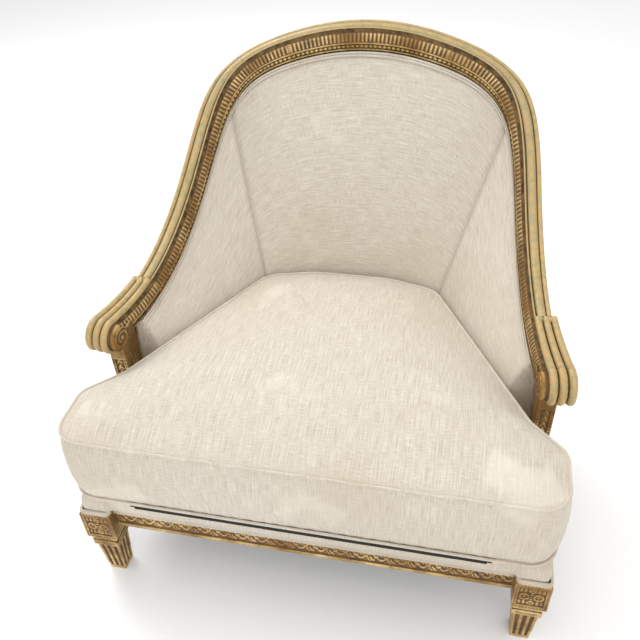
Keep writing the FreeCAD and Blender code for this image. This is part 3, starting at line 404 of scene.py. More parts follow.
def face_point(section, t, proud=0.0):
    """Point of the padded face: t from 0 at the seat to 1 under the rail; the upper part is bowed."""
    knee, head = knee_and_head(section)
    foot = section.base + UP * STUFF_LOW
    straight = (knee - foot).length / ((knee - foot).length + (head - knee).length)
    if t < straight:
        here = foot.lerp(knee, t / straight)
        rise = 0.0
    else:
        s = (t - straight) / (1 - straight)
        here = knee.lerp(head, s)
        rise = 4 * s * (1 - s)
    return here - section.out * (section.swell * rise + proud)


# Meshes

RELIEF_GAIN = 9.0
RELIEF_ROUNDS = 2
WELD_WITHIN = 0.00002
PAINT, GOLD, QUIRK_SHADE, BEECH = range(4)
THREAD = 1.15


def read_rows(items, name, wide, kind=np.float32):
    """One number or vector of each vertex or edge of a mesh, as rows."""
    values = np.empty(len(items) * wide, dtype=kind)
    items.foreach_get(name, values)
    return values.reshape(-1, wide)


def mark_relief(mesh):
    """Note on each corner how far it stands out from its neighbours, for worn edges and for dark recesses,
    which are painted shade.
    """
    old = mesh.attributes.get("relief")
    if old:
        mesh.attributes.remove(old)
    count = len(mesh.vertices)
    places = read_rows(mesh.vertices, "co", 3)
    normals = read_rows(mesh.vertices, "normal", 3)
    a, b = read_rows(mesh.edges, "vertices", 2, np.int32).T
    way = places[a] - places[b]
    way = way / np.maximum(np.linalg.norm(way, axis=1), 1e-7)[:, None]
    total, edges_at = np.zeros(count), np.zeros(count)
    np.add.at(total, a, (normals[a] * way).sum(axis=1))
    np.add.at(total, b, -(normals[b] * way).sum(axis=1))
    np.add.at(edges_at, a, 1)
    np.add.at(edges_at, b, 1)
    edges_at = np.maximum(edges_at, 1)
    value = total / edges_at
    for _ in range(RELIEF_ROUNDS):
        near = np.zeros(count)
        np.add.at(near, a, value[b])
        np.add.at(near, b, value[a])
        value = 0.5 * value + 0.5 * near / edges_at
    layer = mesh.attributes.new("relief", "FLOAT", "POINT")
    layer.data.foreach_set("value", np.clip(0.5 + RELIEF_GAIN * value * 0.5, 0, 1).astype(np.float32))


def new_object(name, data):
    thing = bpy.data.objects.new(name, data)
    bpy.context.scene.collection.objects.link(thing)
    return thing


def make_outward(thing, weld):
    """Turn all faces of a closed piece outwards, after welding the points where its parts meet if asked."""
    work = bmesh.new()
    work.from_mesh(thing.data)
    if weld:
        bmesh.ops.remove_doubles(work, verts=work.verts, dist=WELD_WITHIN)
    bmesh.ops.recalc_face_normals(work, faces=work.faces)
    work.to_mesh(thing.data)
    work.free()
    mark_relief(thing.data)


class Sheet:
    """Gathers rows of points into one mesh with its own layout for the weave, in millimetres."""

    def __init__(self):
        self.points, self.faces, self.bands, self.uvs = [], [], [], []

    def face(self, corners, band, uvs):
        self.faces.append(tuple(corners))
        self.bands.append(band)
        self.uvs.append(tuple(uvs))

    def add(self, rows, band=0, bands=None, closed=False, caps=False, u=None, v=None):
        """Rows of points of equal length; bands give each column of faces its material."""
        start, wide = len(self.points), len(rows[0])
        for row in rows:
            self.points += row
        middle = rows[len(rows) // 2]
        u = u or lengths_along([row[wide // 2] for row in rows])
        v = v or lengths_along(middle + middle[:1])
        bands = bands or [band] * wide
        last = start + (len(rows) - 1) * wide
        for i in range(len(rows) - 1):
            near, far = start + i * wide, start + (i + 1) * wide
            for j in range(wide if closed else wide - 1):
                k = (j + 1) % wide
                self.face((near + j, near + k, far + k, far + j), bands[j],
                          ((u[i], v[j]), (u[i], v[j + 1]), (u[i + 1], v[j + 1]), (u[i + 1], v[j])))
        if caps:
            for ring in (reversed(range(start, start + wide)), range(last, last + wide)):
                self.face(ring, bands[0], [(0.0, 0.0)] * wide)

    def ball(self, centre, rail, size, band, rings, sides):
        """A bead: half sizes along, out and up in the rail's own directions."""
        long, deep, high = size
        rows = []
        for i in range(rings + 1):
            tilt = math.pi * i / rings
            rows.append([centre + rail.along * (long * math.cos(tilt))
                         + rail.out * (deep * math.sin(tilt) * math.cos(turn))
                         + rail.up * (high * math.sin(tilt) * math.sin(turn)) for turn in turns(sides)])
        self.add(rows, band=band, closed=True)

    def make(self, name, slot_name, materials, weld=False):
        """The gathered mesh as an object, its faces turned outwards; bands number its materials."""
        mesh = bpy.data.meshes.new(name)
        mesh.from_pydata([placed(p) for p in self.points], [], self.faces)
        for material in materials:
            mesh.materials.append(material)
        mesh.polygons.foreach_set("use_smooth", [True] * len(mesh.polygons))
        mesh.polygons.foreach_set("material_index", self.bands)
        weave = mesh.uv_layers.new(name="cloth")
        weave.data.foreach_set("uv", [value * MM for face in self.uvs for corner in face for value in corner])
        mesh.validate()
        mesh.update()
        thing = new_object(name, mesh)
        make_outward(thing, weld)
        return thing


def turned_over(thing, name):
    """The same piece for the left side of the chair."""
    mesh = thing.data.copy()
    mesh.name = name
    mesh.transform(Matrix.Scale(-1, 4, ACROSS))
    mesh.flip_normals()
    return new_object(name, mesh)


def settle(piece, nodes, body=FRAME_BODY):
    """Hide the CAD nodes that a piece stands for and hang it on the body that carries it."""
    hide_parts(*nodes)
    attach(piece, body)


def both_sides(thing, base, nodes):
    """Name the right-hand piece, add its left-hand twin and hide the CAD nodes that each stands for."""
    thing.name = f"{base}_right"
    twin = turned_over(thing, f"{base}_left")
    for piece, side in ((thing, "right"), (twin, "left")):
        settle(piece, [f"{node}_{side}" for node in nodes])


def in_wood(sheet, name):
    """A sheet as a piece of painted and gilt wood, its bands numbered PAINT, GOLD, QUIRK_SHADE and BEECH."""
    finishes = [finish(kind) for kind in ("paint", "gold", "recess", "beech")]
    return sheet.make(name, "painted_gilt_wood", finishes)


def carved_piece(sheet, name, node):
    settle(in_wood(sheet, name), [node])


def carved_pair(sheet, name, base, node):
    both_sides(in_wood(sheet, name), base, [node])


def in_linen(sheet, name, weld=False):
    return sheet.make(name, "linen", [finish("linen")], weld)


# Materials

def linear(colour):
    """An sRGB hex colour as linear red, green, blue and alpha."""
    parts = [int(colour[n:n + 2], 16) / 255 for n in (0, 2, 4)]
    return tuple(c / 12.92 if c <= 0.04045 else ((c + 0.055) / 1.055) ** 2.4 for c in parts) + (1.0,)


def per_metre(mm):
    """A pattern's scale, from how wide its marks are."""
    return 1000.0 / mm


def add(tree, kind, output, links, **settings):
    """Add a node with its settings, feed its sockets by name or number and give back one of its outputs."""
    node = tree.nodes.new("ShaderNode" + kind)
    for key, value in settings.items():
        setattr(node, key, value)
    for key, value in links.items():
        if isinstance(value, bpy.types.NodeSocket):
            tree.links.new(value, node.inputs[key])
        else:
            node.inputs[key].default_value = linear(value) if isinstance(value, str) else value
    return node.outputs[output]


def new_material(name):
    material = bpy.data.materials.new(name)
    material.use_nodes = True
    return material, material.node_tree


def finished(material, looks):
    """Join or set the shader's sockets, by their names."""
    tree = material.node_tree
    shader = tree.nodes["Principled BSDF"]
    for name, value in looks.items():
        if isinstance(value, bpy.types.NodeSocket):
            tree.links.new(value, shader.inputs[name])
        else:
            shader.inputs[name].default_value = value
    return material


def aged_paint(colours):
    """Old oil paint on carved beech, brushed by hand: chalky beige with patches of celery glaze.
    Rubbed gold-brown ridges, and brown grime with painted shade in the hollows, draw every line of the
    mouldings."""
    material, tree = new_material("aged celery paint over beech")
    place = add(tree, "TexCoord", "Object", {})
    relief = add(tree, "Attribute", "Fac", {}, attribute_name="relief", attribute_type="GEOMETRY")
    clouds = add(tree, "TexNoise", "Fac", {"Vector": place, "Scale": per_metre(38.46), "Detail": 6.0,
                                           "Roughness": 0.62})
    along = add(tree, "UVMap", "UV", {}, uv_map="cloth")
    brushed = add(tree, "Mapping", "Vector", {
        "Vector": along, "Scale": (per_metre(71.43), per_metre(4.762), 1.0)})
    streaks = add(tree, "TexNoise", "Fac", {"Vector": brushed, "Scale": 1.0, "Detail": 5.0, "Roughness": 0.6})
    rubs = add(tree, "TexNoise", "Fac", {"Vector": place, "Scale": per_metre(10.526), "Detail": 5.0,
                                         "Roughness": 0.7})
    flaking = add(tree, "TexNoise", "Fac", {"Vector": place, "Scale": per_metre(6.25), "Detail": 3.0,
                                            "Roughness": 0.7})
    grit = add(tree, "TexNoise", "Fac", {"Vector": place, "Scale": per_metre(3.125), "Detail": 4.0,
                                         "Roughness": 0.6})
    ridges = add(tree, "MapRange", "Result", {"Value": relief, "From Min": 0.53, "From Max": 0.70})
    patchy = add(tree, "MapRange", "Result", {"Value": rubs, "From Min": 0.36, "From Max": 0.58, "To Min": 0.1})
    glaze = add(tree, "MapRange", "Result", {"Value": clouds, "From Min": 0.38, "From Max": 0.62})
    strokes = add(tree, "MapRange", "Result", {"Value": streaks, "From Min": 0.45, "From Max": 0.72,
                                               "To Max": 0.75})
    worn = add(tree, "Math", 0, {0: ridges, 1: patchy}, operation="MULTIPLY")
    # Painted shade with grime: the hollows are darkened to brown.
    hollow_grime_and_shade = add(tree, "MapRange", "Result", {"Value": relief, "From Min": 0.30, "From Max": 0.49, "To Min": 1.0,
                                            "To Max": 0.0})
    chips = add(tree, "MapRange", "Result", {"Value": flaking, "From Min": 0.66, "From Max": 0.72,
                                             "To Max": 0.8})
    body = colours.paint_pale
    for amount, colour in ((glaze, colours.paint_celery), (strokes, "8d8a63"), (worn, "bd9c62"),
                           (hollow_grime_and_shade, "4f3c20"), (chips, "8a6234")):
        body = add(tree, "Mix", 2, {"Factor": amount, 6: body, 7: colour}, data_type="RGBA")
    rough = add(tree, "MapRange", "Result", {"Value": clouds, "From Min": 0.3, "From Max": 0.7, "To Min": 0.28,
                                             "To Max": 0.5})
    normal = add(tree, "Bump", "Normal", {"Height": streaks, "Distance": 0.6 * MM, "Strength": 0.5})
    normal = add(tree, "Bump", "Normal", {"Height": grit, "Distance": 0.3 * MM, "Strength": 0.5,
                                          "Normal": normal})
    return finished(material, {"Base Color": body, "IOR": 1.5, "Roughness": rough, "Normal": normal})


def worn_gilding(colours):
    """Water gilding over brown bole, burnished by hand: broken gold on the tops; every hollow is dark bole,
    which there also stands for painted shade.
    """
    material, tree = new_material("worn water gilding over bole")
    place = add(tree, "TexCoord", "Object", {})
    relief = add(tree, "Attribute", "Fac", {}, attribute_name="relief", attribute_type="GEOMETRY")
    breaks, bole_tone, gold_tone, burnish = (
        add(tree, "TexNoise", "Fac", {"Vector": place, "Scale": per_metre(wide), "Detail": detail,
                                      "Roughness": rough})
        for wide, detail, rough in ((16.667, 6.0, 0.7), (33.33, 4.0, 0.55), (71.43, 3.0, 0.55),
                                    (2.381, 4.0, 0.6)))
    # Gold only on the raised parts: the dark bole in the hollows is partly painted shade.
    raised = add(tree, "MapRange", "Result", {"Value": relief, "From Min": 0.40, "From Max": 0.60})
    broken = add(tree, "MapRange", "Result", {"Value": breaks, "From Min": 0.32, "From Max": 0.55,
                                              "To Min": 0.35})
    cover = add(tree, "Math", 0, {0: raised, 1: broken}, operation="MULTIPLY")
    tone = add(tree, "MapRange", "Result", {"Value": bole_tone, "From Min": 0.35, "From Max": 0.65})
    bole = add(tree, "Mix", 2, {"Factor": tone, 6: "4a3118", 7: "6f4e2a"}, data_type="RGBA")
    tone = add(tree, "MapRange", "Result", {"Value": gold_tone, "From Min": 0.4, "From Max": 0.62})
    gold = add(tree, "Mix", 2, {"Factor": tone, 6: colours.gold_deep, 7: colours.gold_bright}, data_type="RGBA")
    return finished(material, {
        "Base Color": add(tree, "Mix", 2, {"Factor": cover, 6: bole, 7: gold}, data_type="RGBA"),
        "Metallic": add(tree, "Math", 0, {0: cover, 1: 0.55}, operation="MULTIPLY"),
        "Roughness": add(tree, "MapRange", "Result", {"Value": cover, "To Min": 0.75, "To Max": 0.40}),
        "Normal": add(tree, "Bump", "Normal", {"Height": burnish, "Distance": 0.3 * MM, "Strength": 0.6})})


def quirk_painted_shade(colours):
    """Painted shade in the deep quirks of the carving: nearly black brown and dull, with paler dusty patches.
    """
    material, tree = new_material("painted shade in the quirks")
    place = add(tree, "TexCoord", "Object", {})
    clouds = add(tree, "TexNoise", "Fac", {"Vector": place, "Scale": per_metre(12.5), "Detail": 4.0,
                                           "Roughness": 0.55})
    dust = add(tree, "MapRange", "Result", {"Value": clouds, "From Min": 0.35, "From Max": 0.7})
    return finished(material, {
        "Base Color": add(tree, "Mix", 2, {"Factor": dust, 6: "3a2814", 7: "7d6234"}, data_type="RGBA"),
        "Roughness": 0.8,
        "Normal": add(tree, "Bump", "Normal", {"Height": clouds, "Distance": 0.4 * MM, "Strength": 1.0})})


def raw_beech(colours):
    """Planed and oiled beech, with short dark flecks along the grain: matt and even."""
    material, tree = new_material("planed beech")
    place = add(tree, "TexCoord", "Object", {})
    grain, rays = (
        add(tree, "TexNoise", "Fac", {
            "Vector": add(tree, "Mapping", "Vector", {"Vector": place, "Scale": scale}),
            "Scale": 1.0, "Detail": detail, "Roughness": rough})
        for scale, detail, rough in (((per_metre(5.5556), per_metre(5.5556), per_metre(41.667)), 6.0, 0.6),
                                     ((per_metre(1.1111), per_metre(1.1111), per_metre(11.111)), 2.0, 0.55)))
    flecks = add(tree, "MapRange", "Result", {"Value": rays, "From Min": 0.62, "From Max": 0.70, "To Max": 0.6})
    body = add(tree, "Mix", 2, {"Factor": grain, 6: "a67c4e", 7: "c79f6d"}, data_type="RGBA")
    return finished(material, {
        "Base Color": add(tree, "Mix", 2, {"Factor": flecks, 6: body, 7: "8a5f38"}, data_type="RGBA"),
        "Roughness": 0.6,
        "Normal": add(tree, "Bump", "Normal", {"Height": grain, "Distance": 0.4 * MM, "Strength": 0.5})})


def slub_linen(colours):
    """Plain woven linen with thick slub threads up the cloth: matt, a little fuzzy, with paler rubbed patches.
    The real threads are 0.7 mm apart; THREAD draws them wider so that they still show."""
    material, tree = new_material("slubbed linen weave")
    cloth = add(tree, "UVMap", "UV", {}, uv_map="cloth")
    threads = per_metre(THREAD)
    warp, weft, slubs = (
        add(tree, "TexNoise", "Fac", {
            "Vector": add(tree, "Mapping", "Vector", {"Vector": cloth, "Scale": scale}),
            "Scale": 1.0, "Detail": detail, "Roughness": rough})
        for scale, detail, rough in (((per_metre(38.46), threads, 1.0), 3.0, 0.55),
                                     ((threads, per_metre(16.667), 1.0), 3.0, 0.55),
                                     ((per_metre(111.1), threads * 0.42, 1.0), 2.0, 0.5)))
    place = add(tree, "TexCoord", "Object", {})
    rubbing = add(tree, "TexNoise", "Fac", {"Vector": place, "Scale": per_metre(192.31), "Detail": 5.0,
                                            "Roughness": 0.55})
    handling = add(tree, "TexNoise", "Fac", {"Vector": place, "Scale": per_metre(434.78), "Detail": 4.0,
                                             "Roughness": 0.5})
    over = add(tree, "Math", 0, {0: warp, 1: 0.6}, operation="MULTIPLY")
    under = add(tree, "Math", 0, {0: weft, 1: 0.4}, operation="MULTIPLY")
    weave = add(tree, "Math", 0, {0: over, 1: under}, operation="ADD")
    body = colours.linen_dark
    for source, low, high, most, colour in ((weave, 0.38, 0.64, 1.0, colours.linen_light),
                                            (slubs, 0.56, 0.68, 0.28, "e2dbd0"),
                                            (rubbing, 0.60, 0.66, 0.42, "e6dfd2"),
                                            (handling, 0.46, 0.70, 0.5, "b7a88e")):
        amount = add(tree, "MapRange", "Result", {"Value": source, "From Min": low, "From Max": high,
                                                  "To Max": most})
        body = add(tree, "Mix", 2, {"Factor": amount, 6: body, 7: colour}, data_type="RGBA")
    normal = add(tree, "Bump", "Normal", {"Height": warp, "Distance": 0.7 * MM, "Strength": 0.55})
    for height, rise, strength in ((weft, 0.6, 0.5), (slubs, 0.7, 0.4)):
        normal = add(tree, "Bump", "Normal", {"Height": height, "Distance": rise * MM, "Strength": strength,
                                              "Normal": normal})
    return finished(material, {"Base Color": body, "Roughness": 0.92, "Sheen Weight": 0.25,
                               "Sheen Roughness": 0.5, "Specular IOR Level": 0.25, "Normal": normal})


def coarse_cloth(name, spacing, dark, light, rise, strength):
    """A plain coarse cloth: dull, with its weave in shade and relief. Spacing and rise are in millimetres."""
    material, tree = new_material(name)
    place = add(tree, "TexCoord", "Object", {})
    scale = tuple(per_metre(mm) for mm in spacing)
    spread_out = add(tree, "Mapping", "Vector", {"Vector": place, "Scale": scale})
    weave = add(tree, "TexNoise", "Fac", {"Vector": spread_out, "Scale": 1.0, "Detail": 2.0, "Roughness": 0.55})
    return finished(material, {
        "Base Color": add(tree, "Mix", 2, {"Factor": weave, 6: dark, 7: light}, data_type="RGBA"),
        "Roughness": 0.95,
        "Normal": add(tree, "Bump", "Normal", {"Height": weave, "Distance": rise * MM, "Strength": strength})})


def black_cambric(colours):
    """Thin black cotton cambric under the seat, and over the platform as painted shade under the cushion: flat
    black with a faint open weave.
    """
    return coarse_cloth("black cambric", (1.1111, 2.0, 1000.0), "141312", "34312d", 0.4, 0.5)


def jute_webbing(colours):
    """Plain woven jute, coarse and hairy, with the brown of unbleached bast."""
    return coarse_cloth("woven jute", (2.381, 2.381, 2.381), "7d6038", "b3935f", 0.8, 0.7)


def bright_steel(colours):
    """Drawn steel screws, turned bright with a trace of oil: grey with fine turning marks."""
    material, tree = new_material("turned steel")
    place = add(tree, "TexCoord", "Object", {})
    turned = add(tree, "Mapping", "Vector", {
        "Vector": place, "Scale": (per_metre(0.66667), per_metre(0.66667), per_metre(5.0))})
    marks = add(tree, "TexNoise", "Fac", {"Vector": turned, "Scale": 1.0, "Detail": 2.0, "Roughness": 0.55})
    return finished(material, {
        "Base Color": add(tree, "Mix", 2, {"Factor": marks, 6: "8b8883", 7: "b8b5af"}, data_type="RGBA"),
        "Metallic": 1.0,
        "Roughness": add(tree, "MapRange", "Result", {"Value": marks, "From Min": 0.2, "From Max": 0.8,
                                                      "To Min": 0.28, "To Max": 0.45})})


def studio_floor():
    """Matt white paper sweep: it only catches the soft shadow."""
    material, tree = new_material("white paper sweep")
    place = add(tree, "TexCoord", "Object", {})
    fibres = add(tree, "TexNoise", "Fac", {"Vector": place, "Scale": per_metre(16.667), "Detail": 4.0,
                                           "Roughness": 0.55})
    return finished(material, {
        "Base Color": add(tree, "Mix", 2, {"Factor": fibres, 6: "fbfbfb", 7: "ffffff"}, data_type="RGBA"),
        "Roughness": 0.95})


MAKERS = {"paint": aged_paint, "gold": worn_gilding, "recess": quirk_painted_shade, "beech": raw_beech,
          "linen": slub_linen, "cambric": black_cambric, "jute": jute_webbing, "steel": bright_steel}
FINISHES = {}


def finish(kind):
    """The material of this kind, made when it is first asked for."""
    if kind not in FINISHES:
        FINISHES[kind] = MAKERS[kind](colours_now())
    return FINISHES[kind]


def colours_now():
    """The panel's swatches, as linear colours with alpha."""
    swatches = bpy.context.scene.bergere_colours
    names = ("paint_pale", "paint_celery", "gold_deep", "gold_bright", "linen_light", "linen_dark")
    return SimpleNamespace(**{name: (*getattr(swatches, name), 1.0) for name in names})


def sizes_now():
    return bpy.context.scene.bergere_sizes


# The top rail and the arms

# Groove bands take the nearly black quirk material, which is painted shade.
RAIL_BANDS = {"paint": PAINT, "fillet": PAINT, "gilt": GOLD, "leaf": GOLD, "groove": QUIRK_SHADE, "wood": PAINT}
RAIL_STEP = 1.15
LEAF_RISE = 1.5
LEAF_ROWS = 16
BRUSH_UNEVEN = 0.16
BEAD_AT = 0.82
BEAD_SHARE = 0.42
BEAD_DEEP, BEAD_HIGH = 2.9, 3.0
BOSS_IN = -0.92 * GILT_LEAN
EYE = 0.22
ROLL_TURN = 172
ROLL_FULL = 110
ROLL_SHRINK = 0.10
BLADES = 7
BLADE_FAN = (156, 200)
BLADE_LONG = (34, 46)
BLADE_HALF, BLADE_RISE = 3.4, 1.9
BLADE_DROP = 12


def carved_rail(sheet, start, end, section_at):
    """Sweep the section along the line, with leaf tongues carved on its ogee."""
    leaf_pitch = sizes_now().leaf_pitch / MM
    count = max(2, round((end - start) / RAIL_STEP))
    rows = []
    for place in spread(start, end, count):
        rail = rail_frame(place)
        cut = section_at(place)
        from_crest = place - LINE.crest
        row = []
        for number, (out, up) in enumerate(cut.points[:-1]):
            band = cut.bands[number]
            if band == "leaf":
                down = (number - cut.bands.index("leaf")) / LEAF_ROWS
                tongue = ripple(from_crest, leaf_pitch) ** 0.7
                vein = 0.35 * ripple(from_crest, leaf_pitch / 2)
                rise = LEAF_RISE * (tongue - vein) * (0.25 + 0.75 * math.sin(math.pi * min(1.0, down + 0.12)))
                out, up = out - 0.75 * rise, up + 0.35 * rise
            elif band == "paint":
                up += BRUSH_UNEVEN * lump(place, out * 2, 14, 1.3)
            row.append(in_frame(rail, out, up))
        rows.append(row)
    sheet.add(rows, bands=[RAIL_BANDS[band] for band in cut.bands], closed=True, caps=True)


def bead_row(sheet, start, end):
    """Round beads in their hollow below the leaf tongues."""
    pitch = sizes_now().bead_pitch / MM
    first = math.ceil((start - LINE.crest) / pitch - 0.5)
    last = math.floor((end - LINE.crest) / pitch - 0.5)
    for number in range(first, last + 1):
        place = LINE.crest + (number + 0.5) * pitch
        rail = rail_frame(place)
        centre = in_frame(rail, -0.68 * GILT_LEAN, -BEAD_AT * gilt_height(place))
        sheet.ball(centre, rail, (BEAD_SHARE * pitch, BEAD_DEEP, BEAD_HIGH), GOLD, 6, 10)


def make_top_rail():
    crest, shoulder = Sheet(), Sheet()
    for sheet, start, end in ((crest, 2 * LINE.crest - LINE.joint, LINE.joint),
                              (shoulder, LINE.joint, LINE.elbow)):
        carved_rail(sheet, start, end, painted_section)
        bead_row(sheet, start, end)
    carved_piece(crest, "crest_rail_carved", "crest_rail")
    carved_pair(shoulder, "shoulder", "shoulder_rail_carved", "shoulder_rail")


def scroll_face(sheet, centre, way, rail, high, winds, band, mirrored=False):
    """Round scroll boss: a spiral fillet that winds in to a raised eye."""
    rings, around = 26, 56
    rows = []
    for i in range(rings + 1):
        r = SCROLL_RADIUS * (1 - i / rings)
        row = []
        for turn in turns(around):
            wound = 2 * math.pi - turn if mirrored else turn
            wind = winds * r / SCROLL_RADIUS - wound / (2 * math.pi)
            rise = high * (0.45 + 0.55 * (0.5 + 0.5 * math.cos(2 * math.pi * wind)) ** 0.8)
            if r < EYE * SCROLL_RADIUS:
                rise = high * (1.0 + 0.5 * math.cos(0.5 * math.pi * r / (EYE * SCROLL_RADIUS)))
            if i == 0:
                rise = -1.0
            row.append(centre + rail.along * (r * math.cos(turn)) + rail.up * (r * math.sin(turn)) + way * rise)
        rows.append(row)
    sheet.add(rows, band=band, closed=True)
    sheet.face(range(len(sheet.points) - around, len(sheet.points)), band, [(0.0, 0.0)] * around)


def rolled_front(sheet, rail):
    """The arm's front rolled down and under, with its reeds carried round and a scroll boss on both sides."""
    cut = reeded_section(LINE.tip)
    top = [(p, b) for p, b in zip(cut.points[1:], cut.bands[1:]) if p[1] > -2.5 and p[0] >= 0]
    wide = max(p[0] for p, _ in top)
    side = 4
    ring = [(BOSS_IN, 0.5)] + [p for p, _ in top]
    ring += [(wide, -side), (wide, -ROLL_RADIUS), (BOSS_IN, -ROLL_RADIUS), (BOSS_IN, -side)]
    bands = [GOLD] + [RAIL_BANDS[b] for _, b in top] + [PAINT, PAINT, GOLD, GOLD]
    axis = in_frame(rail, 0, -ROLL_RADIUS)
    rows = []
    for angle in spread(0, ROLL_TURN, 37):
        turn = Matrix.Rotation(math.radians(angle), 3, rail.up.cross(rail.along))
        shrink = 1 - ROLL_SHRINK * smooth(ROLL_FULL, ROLL_TURN, angle)
        rows.append([axis + turn @ (in_frame(rail, out, -ROLL_RADIUS + (up + ROLL_RADIUS) * shrink) - axis)
                     for out, up in ring])
    sheet.add(rows, bands=bands, closed=True, caps=True)
    scroll_face(sheet, in_frame(rail, BOSS_IN, -ROLL_RADIUS), -rail.out, rail, 2.2, 2.2, GOLD)
    scroll_face(sheet, in_frame(rail, wide, -ROLL_RADIUS), rail.out, rail, 1.6, 2.2, PAINT, mirrored=True)


def make_arms():
    arm = Sheet()
    carved_rail(arm, LINE.elbow, LINE.tip, reeded_section)
    rail = rail_frame(LINE.tip)
    rolled_front(arm, rail)
    acanthus(arm, rail)
    step_scrolls(arm)
    carved_pair(arm, "arm", "arm_rail_carved", "arm_rail")


def acanthus(sheet, rail):
    """Leaf that fans from the scroll back along the gilt side of the arm."""
    root = in_frame(rail, BOSS_IN - 0.4, -ROLL_RADIUS + 4)
    start = 0.72 * SCROLL_RADIUS
    middle_blade = BLADES / 2
    for number in range(BLADES):
        angle = math.radians(between(*BLADE_FAN, number / (BLADES - 1)))
        way = rail.along * math.cos(angle) + rail.up * math.sin(angle)
        side = rail.along * -math.sin(angle) + rail.up * math.cos(angle)
        length = between(*BLADE_LONG, 1 - abs(number - middle_blade) / middle_blade)
        rows = []
        for t in spread(0, 1, 12):
            half = BLADE_HALF * math.sin(math.pi * (0.12 + 0.88 * t) ** 0.8) + 0.25
            rise = BLADE_RISE * math.sin(math.pi * (0.1 + 0.88 * t))
            along = start + length * t * 0.62
            if (way * along).dot(rail.up) < -BLADE_DROP:
                along = max(start, BLADE_DROP / max(0.2, abs(way.dot(rail.up))))
            rows.append([root + way * along + side * (half * s)
                         - rail.out * (rise * (1 - s * s) + 0.2 - 0.9 * (abs(s) < 0.2))
                         for s in spread(-1, 1, 7)])
        sheet.add(rows, band=GOLD)


def step_scrolls(sheet):
    """Two small scroll ends where the arm's reeds begin at the elbow."""
    rail = rail_frame(LINE.elbow + 4)
    for out in (11, 26):
        sheet.ball(in_frame(rail, out, PAINT_RISE * 0.5), rail, (5.5, 4.6, 5.2), PAINT, 8, 14)


# Posts, legs and seat rails

BLOCK_LOW, BLOCK_HIGH = 114.0, 178.0
PANEL_IN, PANEL_DEEP = 6, 2.5
ROSETTE, ROSETTE_AT = 10.2, 11
COLLAR_LOW = 86.0
COLLAR_IN = 4.0
FOOT = 31.0
FLUTES_AT = (-0.6, 0, 0.6)
FLUTE_RADIUS = (2.6, 4.0)
POST_TOP = 410
POST_CARVED = (206, 372)
STEM_WAVE = 34
RAIL_THICK = 42.0
RAIL_FILLET = 8.0
RAIL_RELIEF = 3.0
SIDE_RAIL_OUT = 392.0
RAIL_SETBACK = 20.0
REAR_LEG = 44.0
REAR_FOOT = 30.0
REAR_SPLAY = 48.0


def column(sheet, middle, halves, levels, cut, fine=15, arris=0.96):
    """A squared gilt post: halves(z) gives its half sizes, cut(face, across, z) how deep it is carved there."""
    faces = ((FORWARD, ACROSS), (ACROSS, -FORWARD), (-FORWARD, -ACROSS), (-ACROSS, FORWARD))
    rows = []
    for z in levels:
        half = halves(z)
        row = []
        for number, (out, side) in enumerate(faces):
            wide, far = half if number % 2 == 0 else half[::-1]
            for s in spread(-arris, arris, fine):
                row.append(middle + out * (far - cut(number, s * wide, z)) + side * (s * wide) + UP * z)
        rows.append(row)
    sheet.add(rows, band=GOLD, closed=True, caps=True)


def roundel(x, z):
    """Height of a carved rosette: a ringed disc with petals and an eye."""
    r = math.hypot(x, z) / ROSETTE
    if r > 1:
        return 0.0
    petals = 0.5 + 0.5 * math.cos(8 * math.atan2(z, x))
    rings = 0.55 + 0.45 * math.cos(2 * math.pi * r * 1.5)
    return 2.4 * rings * (0.65 + 0.35 * petals * smooth(0.2, 0.6, r)) + 0.3


def block_cut(face, x, z):
    """Carving on the leg block's two outer faces: a sunk panel with two rosettes and a leaf between them."""
    mid = (BLOCK_LOW + BLOCK_HIGH) / 2
    edge = max(abs(x) - (BLOCK / 2 - PANEL_IN), abs(z - mid) - (BLOCK_HIGH - BLOCK_LOW) / 2 + PANEL_IN)
    if face > 1:
        return 0.0
    if edge > 0:
        return 0.7 * smooth(0, 1.2, edge) * (1 - smooth(4.4, 5.6, edge)) * ripple(x + z, 5.5)
    depth = PANEL_DEEP * smooth(0, 1.6, -edge)
    raised = max(roundel(x - ROSETTE_AT, z - mid), roundel(x + ROSETTE_AT, z - mid))
    leaf = 2.3 * math.exp(-(x / 3.2) ** 2) * (0.4 + 0.6 * ripple(z, 6.5))
    tips = 1.8 * math.exp(-((abs(z - mid) - 17) / 4.5) ** 2) * (0.35 + 0.65 * ripple(x, 7.0))
    return depth - min(2.6, max(raised, leaf, tips))


def taper_half(z):
    return between(FOOT / 2, BLOCK / 2 - 1.75 * COLLAR_IN, z / COLLAR_LOW)


def taper_cut(face, x, z):
    """Three flutes up each face of the leg's taper."""
    top, low = COLLAR_LOW - 7, 8
    if z > top + 3 or z < low - 3:
        return 0.0
    radius = between(*FLUTE_RADIUS, z / COLLAR_LOW)
    fade = smooth(low - 3, low + 2, z) * (1 - smooth(top - 2, top + 3, z))
    depth = 0.0
    for flute_at in FLUTES_AT:
        d = abs(x - flute_at * taper_half(z)) / radius
        if d < 1:
            depth = max(depth, 0.8 * radius * math.sqrt(1 - d * d))
    return depth * fade


def collar_cut(face, x, z):
    mid = (COLLAR_LOW + BLOCK_LOW) / 2
    return 2.2 * (1 - smooth(1.2, 3.0, abs(z - mid)))


def make_front_legs():
    leg = Sheet()
    middle = point(HALF - BLOCK / 2, BLOCK / 2, 0)
    column(leg, middle, lambda z: (taper_half(z),) * 2, spread(0, COLLAR_LOW, 44), taper_cut, fine=37)
    column(leg, middle, lambda z: (BLOCK / 2 - COLLAR_IN,) * 2, spread(COLLAR_LOW, BLOCK_LOW, 22), collar_cut)
    column(leg, middle, lambda z: (BLOCK / 2,) * 2, spread(BLOCK_LOW, BLOCK_HIGH, 58), block_cut, fine=51,
           arris=0.985)
    carved_pair(leg, "leg", "front_leg_carved", "front_leg")


